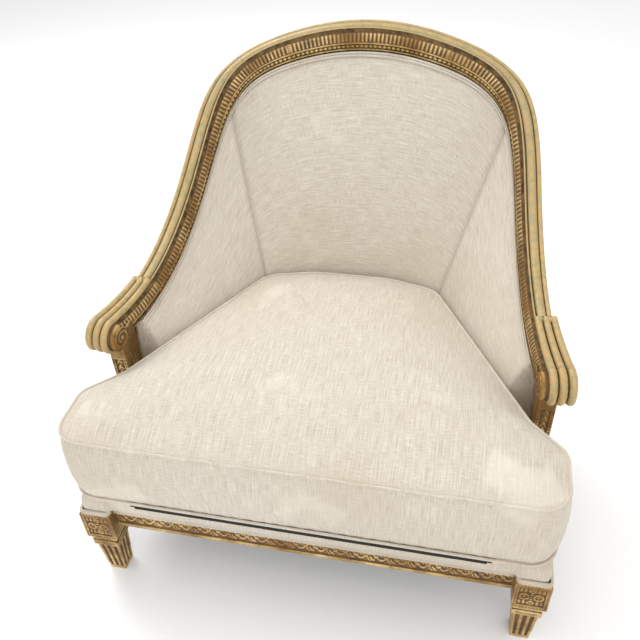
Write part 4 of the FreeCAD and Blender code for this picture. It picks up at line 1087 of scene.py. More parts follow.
def post_cut(face, x, z):
    """Post carving: bead rows on the front's edges with a husk between, and fine strips up the other faces."""
    if z > POST_CARVED[1] or z < POST_CARVED[0]:
        return 0.0
    if face == 0:
        bead = 1.5 * (1 - ripple(z, 7.0)) * math.exp(-((abs(x) - 10.5) / 2.6) ** 2)
        husk = 1.9 * math.exp(-(x / 4.0) ** 2) * (0.4 + 0.6 * ripple(z + 1.4 * abs(x), 14.0))
        sunk = 2.2 * (1 - smooth(7.2, 8.4, abs(x)))
        return sunk - husk + bead * 0.8
    strip = min(abs(abs(x) - 10), abs(abs(x) - 18))
    return 1.8 * (1 - smooth(0.8, 1.9, strip))


def make_posts():
    post = Sheet()
    middle = point(POST_IN + POST_WIDE / 2, TIP_Y + POST_DEEP / 2, 0)
    column(post, middle, lambda z: (POST_WIDE / 2, POST_DEEP / 2), spread(RAIL_HIGH, POST_TOP, 150), post_cut,
           fine=33)
    carved_pair(post, "post", "arm_post_carved", "arm_post")


def leaf_band(u, t):
    """Height of running leaves: a waved stem with curling blades on both sides."""
    wave = 0.5 + 0.26 * math.sin(2 * math.pi * u / STEM_WAVE)
    stem = 1.8 * math.exp(-((t - wave) / 0.10) ** 2)
    other = 1 - wave
    blade = 2.3 * math.exp(-((t - other) / 0.22) ** 2) * (0.35 + 0.65 * ripple(u + 16 * (t - other), 6.8))
    return max(stem, blade)


def seat_rail_rows(stations, face, carved):
    """Rows for a seat rail along (base, out, run) stations, its face so far out; gilt where carved."""
    low, high, edge = RAIL_LOW, RAIL_HIGH, RAIL_FILLET
    finish_band = GOLD if carved else PAINT
    rows = []
    for base, out, run in stations:
        cut = [(face - RAIL_THICK, low, BEECH), (face - 2, low, GOLD), (face, low + 1.5, GOLD)]
        cut += [(face + 0.5 * math.sin(math.pi * s), low + 1.5 + (edge - 2.5) * s, finish_band)
                for s in spread(0.2, 1, 4)]
        # The edges of the sunk band take the quirk material: painted shade.
        cut.append((face - RAIL_RELIEF, low + edge + 1, QUIRK_SHADE))
        for t in spread(0, 1, 21):
            rise = leaf_band(run, t) if carved else 0.0
            fade = smooth(0, 0.08, t) * (1 - smooth(0.92, 1, t))
            cut.append((face - RAIL_RELIEF + rise * fade, low + edge + 2 + (high - low - 2 * edge - 4) * t,
                        finish_band))
        cut.append((face - RAIL_RELIEF, high - edge - 1, QUIRK_SHADE))
        cut += [(face + 0.5 * math.sin(math.pi * s), high - edge + 1 + (edge - 2) * s, finish_band)
                for s in spread(0, 0.8, 4)]
        cut += [(face - 0.5, high, PAINT), (face - RAIL_THICK, high, BEECH)]
        rows.append([base + out * distance + UP * height for distance, height, _ in cut])
    return rows, [band for _, _, band in cut]


def finer(stations, step):
    """Stations every step along a line of (base, out, run)."""
    made = []
    for first, second in zip(stations, stations[1:]):
        count = max(1, round((second[2] - first[2]) / step))
        for n in range(count):
            part = n / count
            made.append((first[0].lerp(second[0], part), first[1].lerp(second[1], part).normalized(),
                         between(first[2], second[2], part)))
    made.append(stations[-1])
    return made


def with_run(pairs, face):
    """Add how far along the outer face each (base, out) station lies."""
    run, before, made = 0.0, None, []
    for base, out in pairs:
        here = base + out * face
        if before is not None:
            run += (here - before).length
        made.append((base, out, run))
        before = here
    return made


def side_line():
    pairs = [(s.base, s.out) for s in SIDE]
    start = POST_IN + POST_WIDE + 6
    pairs += [(point(between(start, SIDE_RAIL_OUT, part) - BACK_THICK, between(TIP_Y, BLOCK, part), 0), ACROSS)
              for part in spread(0, 1, 5)]
    return pairs


def back_line():
    return [(s.base, s.out) for s in BACK]


def seat_rail(line, step, face, carved=True):
    """A seat rail along (base, out) places, with its carving drawn every step."""
    sheet = Sheet()
    rows, bands = seat_rail_rows(finer(with_run(line, face), step), face, carved)
    sheet.add(rows, bands=bands, closed=True, caps=True)
    return sheet


def make_seat_rails():
    end = HALF - BLOCK
    front_line = [(point(x, 0, 0), FORWARD) for x in (-end, end)]
    carved_piece(seat_rail(front_line, 1.3, -RAIL_SETBACK), "front_seat_rail_carved", "front_seat_rail")
    carved_pair(seat_rail(side_line(), 1.5, BACK_THICK), "side_rail", "side_seat_rail_carved", "side_seat_rail")
    rear = seat_rail(back_line(), 8, BACK_THICK, carved=False)
    carved_piece(rear, "rear_seat_rail_moulded", "rear_seat_rail")


def make_rear_legs():
    section = BACK_HALF[-1]
    out, side = section.out, UP.cross(section.out)
    block_middle = section.base + out * (BACK_THICK - REAR_LEG / 2)
    rows = []
    for z in spread(0, RAIL_HIGH, 40):
        part = min(1.0, z / RAIL_LOW)
        half = between(REAR_FOOT, REAR_LEG, part ** 1.3) / 2
        centre = block_middle + out * (REAR_SPLAY * (1 - part) ** 1.25 + 0.6) + UP * z
        row = []
        for a, b in ((0, -1), (1, 0), (0, 1), (-1, 0)):
            for s in spread(-0.9, 0.9, 7):
                cup = 0.5 * (1 - s * s)
                far = a * (1 - 0.02 * cup) + (s if a == 0 else 0) * (1 if b < 0 else -1)
                across = b + (s if b == 0 else 0) * (1 if a > 0 else -1)
                row.append(centre + out * (far * half) + side * (across * half))
        rows.append(row)
    leg = Sheet()
    leg.add(rows, band=PAINT, closed=True, caps=True)
    carved_pair(leg, "rear", "rear_leg_painted", "rear_leg")


# Padded back and arms

SEAM_PULL = 2.4
PANEL_LONG = 420
COVER_BOW = 3.0
COVER_THICK = 1.2
TACK_GAP = 0.3


def padded_panel(name, sections, seam_ends):
    """A stuffed panel: bowed face with puckers under the welt, pulled in along its seams."""
    u = lengths_along([section.head for section in sections])
    rows = []
    for section, along in zip(sections, u):
        from_seam = min([9999.0] + [far for far, sewn in zip((along, u[-1] - along), seam_ends) if sewn])
        pull = SEAM_PULL * math.exp(-from_seam / 5.0)
        row = []
        for t in spread(0, 1, 46):
            down = (1 - t) * PANEL_LONG
            pucker = 0.5 * math.sin(along / 4.6 + 1.8 * lump(along, 0, 40, 2.2)) * math.exp(-down / 16)
            soft = 1.2 * lump(along, t * PANEL_LONG, 110, 4.1) * min(1.0, from_seam / 25)
            row.append(face_point(section, t, 1.2 + pucker * 0.8 + soft * (1 - t ** 6) - pull))
        row.append(section.head + section.out * PAD_TOP)
        row.append(section.base + UP * STUFF_LOW + section.out * (PAD_LOW * section.room))
        rows.append(row)
    sheet = Sheet()
    sheet.add(rows, closed=True, caps=True, u=u)
    return in_linen(sheet, name)


def make_inside_back():
    back = padded_panel("inside_back_padded", BACK, (True, True))
    settle(back, ["inside_back_cover", "inside_back_stuffing"])


def make_inside_arms():
    arm = padded_panel("inside_arm", PANEL_SIDE, (True, False))
    both_sides(arm, "inside_arm_padded", ["inside_arm_cover", "inside_arm_stuffing"])


def cover_top(section):
    """Where the outside cover is tacked, close under the rail."""
    here = under_rail_at(section.at, PAD_EDGE + COVER_TOP)
    return flip_point(here) if section.base.x < 0 else here


def outside_panel(name, sections):
    """The outside cover, drawn tight from the top rail down to the seat rail."""
    rows = []
    for section in sections:
        foot = section.base + UP * (RAIL_HIGH + TACK_GAP) + section.out * (BACK_THICK * section.room)
        row = [foot.lerp(cover_top(section), t) - section.out * (COVER_BOW * math.sin(math.pi * t))
               for t in spread(0, 1, 18)]
        rows.append(row + [p - section.out * COVER_THICK for p in reversed(row)])
    sheet = Sheet()
    sheet.add(rows, closed=True, caps=True)
    return in_linen(sheet, name)


def make_outside_covers():
    settle(outside_panel("outside_back_linen", BACK), ["outside_back_cover"])
    both_sides(outside_panel("outside_arm", PANEL_SIDE), "outside_arm_linen", ["outside_arm_cover"])


# Welts

WELT_WIDE = 10.0
WELT_THICK = 4.4


def double_welt(sheet, path):
    """Two cords sewn side by side in one strip of linen; path gives (start, down, out) places."""
    rows = []
    for start, down, out in path:
        row = []
        for lobe in (0.25, 0.75):
            for angle in [math.radians(degrees) for degrees in spread(180, 0, 9)]:
                row.append(start + down * (WELT_WIDE * (lobe + 0.25 * math.cos(angle)))
                           + out * (WELT_THICK * (0.12 + 0.88 * math.sin(angle))))
        rows.append(row + [start + down * WELT_WIDE, start.copy()])
    sheet.add(rows, closed=True, caps=True)


def welt_on_back():
    """Path of the welt on the padded face, just under the gilt moulding."""
    path = []
    for section in [flip(s) for s in reversed(PANEL_SIDE)] + BACK[1:-1] + PANEL_SIDE:
        head = section.head
        down = (face_point(section, 0.9) - head).normalized()
        inward = -section.out
        inward = (inward - down * inward.dot(down)).normalized()
        path.append((head + inward * 1.6 - down * 0.5, down, inward))
    return path


def stepped(path, low):
    """A welt's path round (place, out) points that all lie at one height."""
    return [(p + UP * low, UP, out) for p, out in path]


def welt_over_block(side):
    """The welt's (place, out) points round the three open sides of a leg block."""
    inner, outer, front = HALF - BLOCK + WELT_THICK, HALF - WELT_THICK, WELT_THICK
    places = [(inner, y, -ACROSS) for y in spread(12, front + 4, 4)]
    places += [(inner + 1.2, front + 1.2, FORWARD - ACROSS)]
    places += [(x, front, FORWARD) for x in spread(inner + 4, outer - 4, 10)]
    places += [(outer - 1.2, front + 1.2, FORWARD + ACROSS)]
    places += [(outer, y, ACROSS) for y in spread(front + 4, BLOCK, 10)]
    return [(point(side * x, y, 0), Vector((side * out.x, out.y, 0)).normalized()) for x, y, out in places]


def welt_on_rail(line):
    """The welt's (place, out) points along the outside of a seat rail."""
    stations = finer(with_run(line, BACK_THICK), 9)
    return [(base + out * (BACK_THICK + TACK_GAP), out) for base, out, _ in stations]


def make_welts():
    inside = Sheet()
    double_welt(inside, welt_on_back())
    edge = PANEL_SIDE[-1]
    for side in (-1, 1):
        path = [(point(side * (edge.base.x - 1.6), edge.base.y - 1, z), -FORWARD, ACROSS * -side)
                for z in spread(edge.head.z - 5, STUFF_LOW + 52, 20)]
        double_welt(inside, path if side < 0 else path[::-1])
    settle(in_linen(inside, "back_double_welt_sewn"), ["back_double_welt"])
    rail = Sheet()
    low = RAIL_HIGH - WELT_WIDE
    end = HALF - BLOCK - TACK_GAP
    front = [(point(x, RAIL_SETBACK - TACK_GAP, 0), FORWARD) for x in spread(-end, end, 60)]
    double_welt(rail, stepped(front, low))
    side_path = welt_on_rail(side_line())
    for side in (-1, 1):
        double_welt(rail, stepped(welt_over_block(side)[::side], BLOCK_HIGH + TACK_GAP))
        path = side_path if side > 0 else [(flip_point(p), flip_point(o)) for p, o in side_path][::-1]
        double_welt(rail, stepped(path, low))
    double_welt(rail, stepped(welt_on_rail(back_line()), low))
    settle(in_linen(rail, "rail_double_welt_sewn"), ["rail_double_welt"])


# The platform and the loose cushion

DECK_HIGH = 236.0
DECK_SIDE = 391
DECK_FRONT = 5.2
DECK_ROUND, DECK_DROP = 36.0, 34.0
# Height above which the platform is black cloth, as painted shade under the cushion.
SHADE_CLOTH_ABOVE = 199
CORNER_RISE = 45
CORNER_FROM_TO = (285, 335)
CUSHION_FRONT = -3.0
CUSHION_HALF = 388.0
EAR_SIDE = 102.0
SEAM_HIGH, SEAM_LOW = 376.0, 243.0
BOXING_HIGH = SEAM_HIGH - SEAM_LOW
BOXING_ROWS = 19
BOXING_SWELL = 9.0
CROWN_HIGH = 52.0
CROWN_MIDDLE = 250.0
UNDER_ROUND = 26.0
RING = 360
CLOTH_STEPS = 14
CLOTH_CAP = 0.006
HELD_WITHIN = 3.0


def rounded(points, radii, flats=10):
    """Points round a level outline, with each corner eased to its radius."""
    eased = []
    count = len(points)
    for number in range(count):
        before, corner, after = points[number - 1], points[number], points[(number + 1) % count]
        back, ahead = (before - corner).normalized(), (after - corner).normalized()
        half_angle = back.angle(ahead) / 2
        reach = radii[number] / math.tan(half_angle)
        middle_way = (back + ahead).normalized()
        centre = corner + middle_way * (radii[number] / math.sin(half_angle))
        start, end = corner + back * reach - centre, corner + ahead * reach - centre
        for n in range(flats + 1):
            eased.append(centre + start.slerp(end, n / flats).normalized() * radii[number])
    return eased


def mirror_points(points, radii):
    return points + [flip_point(p) for p in reversed(points)], radii + list(reversed(radii))


def evenly(points, count):
    """The same closed outline with points evenly along it, starting halfway along its closing edge."""
    lengths = lengths_along(points + points[:1])
    ring = points + points[:1]
    total = lengths[-1]
    offset = total - (ring[-2] - ring[-1]).length / 2
    result = []
    for n in range(count):
        want = (offset + total * n / count) % total
        k = next(i for i in range(len(lengths) - 1) if lengths[i] <= want <= lengths[i + 1])
        long = lengths[k + 1] - lengths[k]
        result.append(ring[k].lerp(ring[k + 1], (want - lengths[k]) / long if long else 0))
    return result


def well_back(ease):
    """Where the back of the cushion or the platform lies, beside the middle of the inside back."""
    return point(0.42 * SEAM[0], WELL_BACK_Y - 3 - ease, 0)


def deck_ring(inset):
    ease = 3.3 + inset
    side = DECK_SIDE - inset
    behind = TIP_Y - 3 - inset
    step = HALF - BLOCK
    points = [point(step - 3, 12 + inset, 0), point(step + 3, DECK_FRONT + inset, 0),
              point(side, DECK_FRONT + inset, 0), point(side, behind, 0), point(POST_IN - 4 - inset, behind, 0),
              point(*POST_END, 0) - SIDE[-1].out * ease, point(*SEAM, 0) - BACK_HALF[-1].out * ease,
              well_back(ease)]
    radii = [3, 3, max(9 - inset, 1), max(8 - inset, 1), 4 + inset, 4 + inset / 2, max(34 - inset, 1), 60]
    return evenly(rounded(*mirror_points(points, radii)), 300)


def make_deck():
    """The stuffed platform under the cushion: black cloth on top, as painted shade in the gap under the
    cushion, linen where its front is drawn down.
    """
    low = STUFF_LOW
    rows = [[p + UP * height for p in deck_ring(0)] for height in (low, low + 5)]
    for angle in spread(0, math.pi / 2, 14):
        z = DECK_HIGH - DECK_DROP * (1 - math.sin(angle))
        rows.append([p + UP * (z - 0.7 + 0.5 * lump(p.x, p.y, 50, 6.3))
                     for p in deck_ring(DECK_ROUND * (1 - math.cos(angle)))])
    flat = rows[-1]
    for part in (0.8, 0.55, 0.3, 0.08):
        rows.append([Vector((between(0, p.x, part), between(CROWN_MIDDLE, p.y, part), p.z)) for p in flat])
    sheet = Sheet()
    sheet.add(rows, closed=True, caps=True)
    # Faces above this height take black cloth: painted shade under the cushion's overhang.
    for number, face in enumerate(sheet.faces):
        middle = sum((sheet.points[c] for c in face), Vector()) / len(face)
        if middle.z > SHADE_CLOTH_ABOVE + CORNER_RISE * smooth(*CORNER_FROM_TO, abs(middle.x)):
            sheet.bands[number] = 1
    deck = sheet.make("platform_covered", "linen", [finish("linen"), finish("cambric")])
    settle(deck, ["deck_cover", "deck_stuffing"])


def cushion_outline(inset):
    ease = BOXING_SWELL + 5 + inset
    side = CUSHION_HALF - inset
    seam_at, post_at = point(*SEAM, 0), point(*POST_END, 0)
    seam = seam_at - BACK_HALF[-1].out * ease
    run = (post_at - seam_at).normalized()
    square_in = UP.cross(run) if UP.cross(run).x < 0 else run.cross(UP)
    line_start = seam_at + square_in * ease
    ear = point(side, EAR_SIDE - 0.414 * inset, 0)
    ear_way = Vector((-1, 1, 0))
    notch = ear + ear_way * ((line_start - ear).cross(run).z / ear_way.cross(run).z)
    corner = line_start + run * ((seam - line_start).dot(run))
    points = [point(side, CUSHION_FRONT + inset, 0), ear, notch, corner, well_back(ease)]
    radii = [max(42 - inset, 2), max(38 - inset, 2), 20 + inset, max(48 - inset, 2), 150]
    return evenly(rounded(*mirror_points(points, radii)), RING)


def pushed_out(ring, distance):
    """The same ring moved out along its own normals, so that its columns stay above one another."""
    return [here - UP.cross((ring[(n + 1) % RING] - ring[n - 1]).normalized()) * distance
            for n, here in enumerate(ring)]


def crown_point(seam_point, part, high):
    """Point of the crown between its middle at 0 and its seam at 1, with the sitter's soft hollows."""
    x = seam_point.x * part
    y = between(CROWN_MIDDLE, seam_point.y, part)
    rise = sizes_now().crown_high / MM * (1 - part ** 3.0)
    inside = min(1.0, (1 - part) * 9)
    rise += (2.2 * lump(x, y, 130, 7.7) + 1.0 * lump(x, y, 60, 8.8)) * inside
    return point(x, y, high + rise)


def boxing_rows(outline, lengths):
    """Rows of the swelled side between the two seams, crimped beside both."""
    rows = []
    for part in spread(0, 1, BOXING_ROWS):
        near_seam = math.exp(-min(part, 1 - part) * 14)
        row = []
        for n, p in enumerate(pushed_out(outline, BOXING_SWELL * (1 - abs(2 * part - 1) ** 3))):
            crimp = 0.7 * math.sin(lengths[n] / 3.9 + 2 * lump(lengths[n], 0, 30, 3.1)) * near_seam
            soft = 1.6 * lump(lengths[n], part * BOXING_HIGH, 70, 5.5) * (1 - near_seam)
            way = (p - point(0, 220, 0)).normalized()
            row.append(p + way * (crimp + soft) + UP * between(SEAM_LOW, SEAM_HIGH, part))
        rows.append(row)
    return rows


def crown_rows(outline, lengths):
    """Rows of the crowned top, close together beside the seam and crimped there."""
    rows = []
    for part in [1.0, 0.992, 0.98, 0.965, 0.945] + spread(0.92, 0.02, 30):
        row = []
        for n, p in enumerate(outline):
            crimp = 0.8 * math.sin(lengths[n] / 4.4 + 2 * lump(lengths[n], 9, 30, 1.9))
            crimp *= math.exp(-(1 - part) * 45) if part < 1 else 0
            row.append(crown_point(p, part, SEAM_HIGH) + UP * crimp)
        rows.append(row)
    return rows


def make_piping(outline, kind, high, reach):
    """Self piping round one seam; reach says how far out it lies, in its own radii."""
    radius = sizes_now().piping / MM / 2
    line = pushed_out(outline, radius * reach)
    rows = []
    for n in list(range(RING)) + [0]:
        side = UP.cross((line[(n + 1) % RING] - line[n - 1]).normalized())
        rows.append([line[n] + UP * high + side * (radius * math.cos(a)) + UP * (radius * math.sin(a))
                     for a in turns(12)])
    cord = Sheet()
    cord.add(rows, closed=True)
    node = f"cushion_{kind}_piping"
    settle(in_linen(cord, f"{node}_sewn"), [node], body=CUSHION_BODY)


def make_cushion():
    """The loose cushion: crowned panels, swelled boxing and self piping in both seams."""
    outline = cushion_outline(0)
    lengths = lengths_along(outline + outline[:1])
    sheet = Sheet()
    under = [[p + UP * DECK_HIGH for p in cushion_outline(UNDER_ROUND)],
             [p + UP * (DECK_HIGH + 1.2) for p in cushion_outline(UNDER_ROUND * 0.45)],
             [p + UP * SEAM_LOW for p in outline]]
    floor_rows = [[Vector((p.x * part, between(CROWN_MIDDLE, p.y, part), DECK_HIGH + 0.4)) for p in under[0]]
                  for part in (0.02, 0.3, 0.6, 0.85)]
    sheet.add(floor_rows + under, closed=True)
    sheet.add(boxing_rows(outline, lengths), closed=True, u=spread(0, BOXING_HIGH, BOXING_ROWS), v=lengths)
    first_face = len(sheet.faces)
    sheet.add(crown_rows(outline, lengths), closed=True)
    sheet.face(range(len(sheet.points) - RING, len(sheet.points)), 0, ())
    for number in range(first_face, len(sheet.faces)):
        sheet.uvs[number] = tuple((sheet.points[c].y, sheet.points[c].x) for c in sheet.faces[number])
    cushion = in_linen(sheet, "seat_cushion_sewn", weld=True)
    swell(cushion)
    settle(cushion, ["cushion_core", "cushion_cover"], body=CUSHION_BODY)
    make_piping(outline, "top", SEAM_HIGH, 0.7)
    make_piping(outline, "bottom", SEAM_LOW, 1.5)


def swell(thing):
    """Let the sewn cover find its own soft shape over its filling; its seams and its underside are held."""
    mesh = thing.data
    before = read_rows(mesh.vertices, "co", 3)
    held = thing.vertex_groups.new(name="held")
    for number, z in enumerate(before[:, 2] / MM):
        near = min(abs(z - SEAM_HIGH), abs(z - SEAM_LOW))
        grip = 1.0 if z < SEAM_LOW + 1 else max(0.0, 1 - near / HELD_WITHIN)
        if grip > 0:
            held.add([number], float(grip), "REPLACE")
    cloth = thing.modifiers.new("cover", "CLOTH")
    for name, value in {"quality": 6, "mass": 0.3, "tension_stiffness": 20, "compression_stiffness": 12,
                        "shear_stiffness": 8, "bending_stiffness": 1.5, "vertex_group_mass": "held",
                        "use_pressure": True, "uniform_pressure_force": 3.0}.items():
        setattr(cloth.settings, name, value)
    cloth.settings.effector_weights.gravity = 0
    cloth.collision_settings.use_self_collision = False
    cloth.point_cache.frame_start = 1
    cloth.point_cache.frame_end = CLOTH_STEPS
    scene = bpy.context.scene
    for step in range(1, CLOTH_STEPS + 1):
        scene.frame_set(step)
    bpy.context.view_layer.update()
    shaped = thing.evaluated_get(bpy.context.evaluated_depsgraph_get())
    after = read_rows(shaped.data.vertices, "co", 3)
    thing.modifiers.remove(cloth)
    scene.frame_set(1)
    if not np.isfinite(after).all():
        raise RuntimeError("the cushion's cover did not settle")
    moved = after - before
    cap = np.minimum(1.0, CLOTH_CAP / np.maximum(np.linalg.norm(moved, axis=1), 1e-9))
    mesh.vertices.foreach_set("co", (before + moved * cap[:, None]).ravel())
    mesh.update()
    mark_relief(mesh)


# Inner parts and the underside

TACKED_IN = 9
SAG = 6
INNER_FINISHES = {
    "beech": ("front_corner_brace_left", "front_corner_brace_right", "rear_corner_brace_left",
              "rear_corner_brace_right", "frame_dowels"),
    "steel": ("brace_screws",),
    "jute": ("seat_webbing", "seat_hessian", "inside_back_hessian", "inside_arm_hessian_left",
             "inside_arm_hessian_right", "back_webbing"),
}


def make_dust_cover():
    """Cambric drawn over the underside, sagging a little between the rails it is tacked to."""
    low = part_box("dust_cover")[0].z / MM
    pairs = [(s.base, s.out) for s in BACK_HALF] + side_line()[1:]
    right = [base + out * (BACK_THICK - TACKED_IN) for base, out in pairs]
    right.append(point(right[-1].x, RAIL_SETBACK + TACKED_IN, 0))
    ring = evenly(right + [flip_point(p) for p in reversed(right[1:])], 200)
    middle = point(0, 280, 0)
    under = []
    for part in (1.0, 0.97, 0.9, 0.75, 0.55, 0.3, 0.04):
        height = low - SAG * (1 - part ** 2)
        under.append([middle.lerp(p, part) + UP * (height + 0.4 * lump(p.x * part, p.y * part, 40, 9.2))
                      for p in ring])
    over = [[p + UP * 0.8 for p in row] for row in reversed(under)]
    sheet = Sheet()
    sheet.add(under[::-1] + over[::-1], closed=True, caps=True)
    settle(sheet.make("dust_cover_tacked", "jute", [finish("cambric")]), ["dust_cover"])


def dress_inner_parts():
    """Give the CAD's own inner pieces their finishes."""
    for kind, nodes in INNER_FINISHES.items():
        for name in nodes:
            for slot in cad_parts[name].material_slots:
                slot.material = finish(kind)


# Stage

CAMERA_AT = (0.20224, -0.64944, 1.22244)
CAMERA_TURN = (-0.23276, 0.68999, -0.04720)
CAMERA_LENS = 40.943
FLOOR_HALF = 9.0
FLOOR_DROP = 0.0005
LAMPS = (("window", (-1.5, 1.1, 2.3), 1.4, 34.0), ("sky", (0.3, -0.2, 3.0), 3.0, 26.0),
         ("front", (0.5, -2.4, 1.5), 2.2, 19.0))
LAMP_AIM = Vector((0, 0, 0.35))


def set_camera():
    yaw, pitch, roll = CAMERA_TURN
    look = Vector((math.sin(yaw) * math.cos(pitch), math.cos(yaw) * math.cos(pitch), -math.sin(pitch)))
    right = look.cross(UP).normalized()
    above = right.cross(look)
    level = right * math.cos(roll) + above * math.sin(roll)
    upward = above * math.cos(roll) - right * math.sin(roll)
    data = bpy.data.cameras.new("camera")
    data.lens = CAMERA_LENS
    data.sensor_width = 36.0
    data.clip_start = 0.05
    camera = new_object("camera", data)
    x, y, z = CAMERA_AT
    turn = Matrix((level, upward, -look)).transposed().to_4x4()
    camera.matrix_world = Matrix.Translation((x, y - SET_BACK * MM, z)) @ turn
    bpy.context.scene.camera = camera


def lay_floor():
    mesh = bpy.data.meshes.new("studio_floor")
    corners = [(x * FLOOR_HALF, y * FLOOR_HALF, 0) for x, y in ((-1, -1), (1, -1), (1, 1), (-1, 1))]
    mesh.from_pydata(corners, [], [(0, 1, 2, 3)])
    mesh.materials.append(studio_floor())
    floor = new_object("studio_floor", mesh)
    floor.location.z = -FLOOR_DROP


def hang_lamps():
    for name, place, size, power in LAMPS:
        lamp = bpy.data.lights.new(name, "AREA")
        lamp.size = size
        lamp.energy = power
        thing = new_object(name, lamp)
        thing.location = place
        thing.rotation_euler = (LAMP_AIM - thing.location).to_track_quat("-Z", "Y").to_euler()


def make_stage():
    set_camera()
    lay_floor()
    hang_lamps()
    world = bpy.data.worlds.new("pale studio")
    world.use_nodes = True
    backdrop = world.node_tree.nodes["Background"]
    backdrop.inputs["Color"].default_value = linear("ffffff")
    backdrop.inputs["Strength"].default_value = 0.8
    bpy.context.scene.world = world
    bpy.context.scene.view_settings.view_transform = "Standard"


# Panel, properties and operators

class BERGERE_PG_sizes(bpy.types.PropertyGroup):
    """Sizes offered in the panel"""
    leaf_pitch: FloatProperty(name="Leaf pitch", description="Width of one leaf tongue on the gilt moulding",
                              default=0.0078, unit="LENGTH")
    bead_pitch: FloatProperty(name="Bead pitch", description="Distance between the carved beads",
                              default=0.0092, unit="LENGTH")
    crown_high: FloatProperty(name="Cushion crown", description="Rise of the cushion above its top seam",
                              default=CROWN_HIGH * MM, unit="LENGTH")
    piping: FloatProperty(name="Piping", description="Thickness of the cushion's piping", default=0.005,
                          unit="LENGTH")


def swatch(name, description, colour):
    return FloatVectorProperty(name=name, description=description, default=linear(colour)[:3], subtype="COLOR",
                               size=3, min=0, max=1)


class BERGERE_PG_colours(bpy.types.PropertyGroup):
    """Colours offered in the panel"""
    paint_pale: swatch("Pale paint", "Rubbed beige paint on the mouldings", "a69878")
    paint_celery: swatch("Celery paint", "Greenish paint left in the streaks", "7f8560")
    gold_deep: swatch("Deep gold", "Gilding where it is rubbed thin", "9a7434")
    gold_bright: swatch("Bright gold", "Gilding where it is whole", "d6b87c")
    linen_light: swatch("Linen, light threads", "Top of the weave", "dbd3c7")
    linen_dark: swatch("Linen, shaded threads", "Hollows of the weave", "b6ab99")


class BERGERE_OT_top_rail(bpy.types.Operator):
    """Sweep the carved crest and shoulder rails"""
    bl_idname = "bergere.top_rail"
    bl_label = "Top rail"

    def execute(self, context):
        make_top_rail()
        return {"FINISHED"}


class BERGERE_OT_arms(bpy.types.Operator):
    """Make the reeded arms with their rolled scroll fronts"""
    bl_idname = "bergere.arms"
    bl_label = "Arms"

    def execute(self, context):
        make_arms()
        return {"FINISHED"}


class BERGERE_OT_posts(bpy.types.Operator):
    """Carve the posts under the arms"""
    bl_idname = "bergere.posts"
    bl_label = "Arm posts"

    def execute(self, context):
        make_posts()
        return {"FINISHED"}


class BERGERE_OT_front_legs(bpy.types.Operator):
    """Carve the blocks and fluted tapers of the front legs"""
    bl_idname = "bergere.front_legs"
    bl_label = "Front legs"

    def execute(self, context):
        make_front_legs()
        return {"FINISHED"}


class BERGERE_OT_rear_legs(bpy.types.Operator):
    """Shape the splayed rear legs"""
    bl_idname = "bergere.rear_legs"
    bl_label = "Rear legs"

    def execute(self, context):
        make_rear_legs()
        return {"FINISHED"}


class BERGERE_OT_seat_rails(bpy.types.Operator):
    """Carve the rails of the seat"""
    bl_idname = "bergere.seat_rails"
    bl_label = "Seat rails"

    def execute(self, context):
        make_seat_rails()
        return {"FINISHED"}


class BERGERE_OT_inside_back(bpy.types.Operator):
    """Pad and cover the inside back"""
    bl_idname = "bergere.inside_back"
    bl_label = "Inside back"

    def execute(self, context):
        make_inside_back()
        return {"FINISHED"}


class BERGERE_OT_inside_arms(bpy.types.Operator):
    """Pad and cover the inside arms"""
    bl_idname = "bergere.inside_arms"
    bl_label = "Inside arms"

    def execute(self, context):
        make_inside_arms()
        return {"FINISHED"}


class BERGERE_OT_outside(bpy.types.Operator):
    """Cover the outside of the back and arms"""
    bl_idname = "bergere.outside"
    bl_label = "Outside covers"

    def execute(self, context):
        make_outside_covers()
        return {"FINISHED"}


class BERGERE_OT_welts(bpy.types.Operator):
    """Sew the double welts"""
    bl_idname = "bergere.welts"
    bl_label = "Double welts"

    def execute(self, context):
        make_welts()
        return {"FINISHED"}


class BERGERE_OT_platform(bpy.types.Operator):
    """Cover the platform under the cushion"""
    bl_idname = "bergere.platform"
    bl_label = "Platform"

    def execute(self, context):
        make_deck()
        return {"FINISHED"}


class BERGERE_OT_cushion(bpy.types.Operator):
    """Sew and fill the loose cushion"""
    bl_idname = "bergere.cushion"
    bl_label = "Cushion"

    def execute(self, context):
        make_cushion()
        return {"FINISHED"}


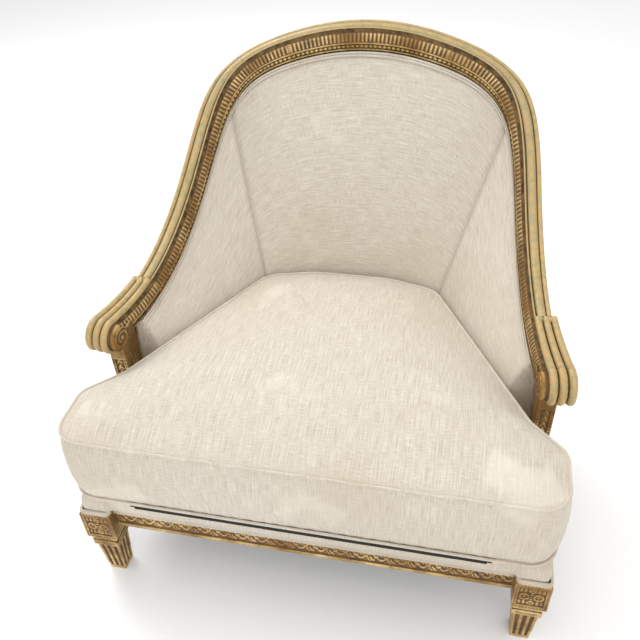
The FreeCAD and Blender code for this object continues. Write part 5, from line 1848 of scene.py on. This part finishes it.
class BERGERE_OT_dust_cover(bpy.types.Operator):
    """Tack the cambric under the seat"""
    bl_idname = "bergere.dust_cover"
    bl_label = "Dust cover"

    def execute(self, context):
        make_dust_cover()
        return {"FINISHED"}


class BERGERE_OT_inner(bpy.types.Operator):
    """Finish the braces, webbing and other inner parts"""
    bl_idname = "bergere.inner"
    bl_label = "Inner parts"

    def execute(self, context):
        dress_inner_parts()
        return {"FINISHED"}


class BERGERE_OT_stage(bpy.types.Operator):
    """Set the floor, the lights and the camera"""
    bl_idname = "bergere.stage"
    bl_label = "Stage"

    def execute(self, context):
        make_stage()
        return {"FINISHED"}


OPERATORS = (
    BERGERE_OT_top_rail, BERGERE_OT_arms, BERGERE_OT_posts, BERGERE_OT_front_legs, BERGERE_OT_rear_legs,
    BERGERE_OT_seat_rails, BERGERE_OT_inside_back, BERGERE_OT_inside_arms, BERGERE_OT_outside,
    BERGERE_OT_welts, BERGERE_OT_platform, BERGERE_OT_cushion, BERGERE_OT_dust_cover, BERGERE_OT_inner,
    BERGERE_OT_stage,
)


class BERGERE_PT_panel(bpy.types.Panel):
    """Sizes, colours and pieces of the chair."""
    bl_label = "Bergere Chair"
    bl_idname = "BERGERE_PT_panel"
    bl_space_type = "VIEW_3D"
    bl_region_type = "UI"
    bl_category = "Chair"

    def draw(self, context):
        for group in (context.scene.bergere_sizes, context.scene.bergere_colours):
            for name in group.bl_rna.properties.keys():
                if name not in ("rna_type", "name"):
                    self.layout.prop(group, name)
        for kind in OPERATORS:
            self.layout.operator(kind.bl_idname)


CLASSES = (BERGERE_PG_sizes, BERGERE_PG_colours) + OPERATORS + (BERGERE_PT_panel,)


def register():
    for kind in CLASSES:
        bpy.utils.register_class(kind)
    bpy.types.Scene.bergere_sizes = PointerProperty(type=BERGERE_PG_sizes)
    bpy.types.Scene.bergere_colours = PointerProperty(type=BERGERE_PG_colours)


def unregister():
    del bpy.types.Scene.bergere_colours
    del bpy.types.Scene.bergere_sizes
    for kind in reversed(CLASSES):
        bpy.utils.unregister_class(kind)


def main():
    register()
    for kind in OPERATORS:
        getattr(bpy.ops.bergere, kind.bl_idname.split(".")[1])()


if __name__ == "__main__":
    main()
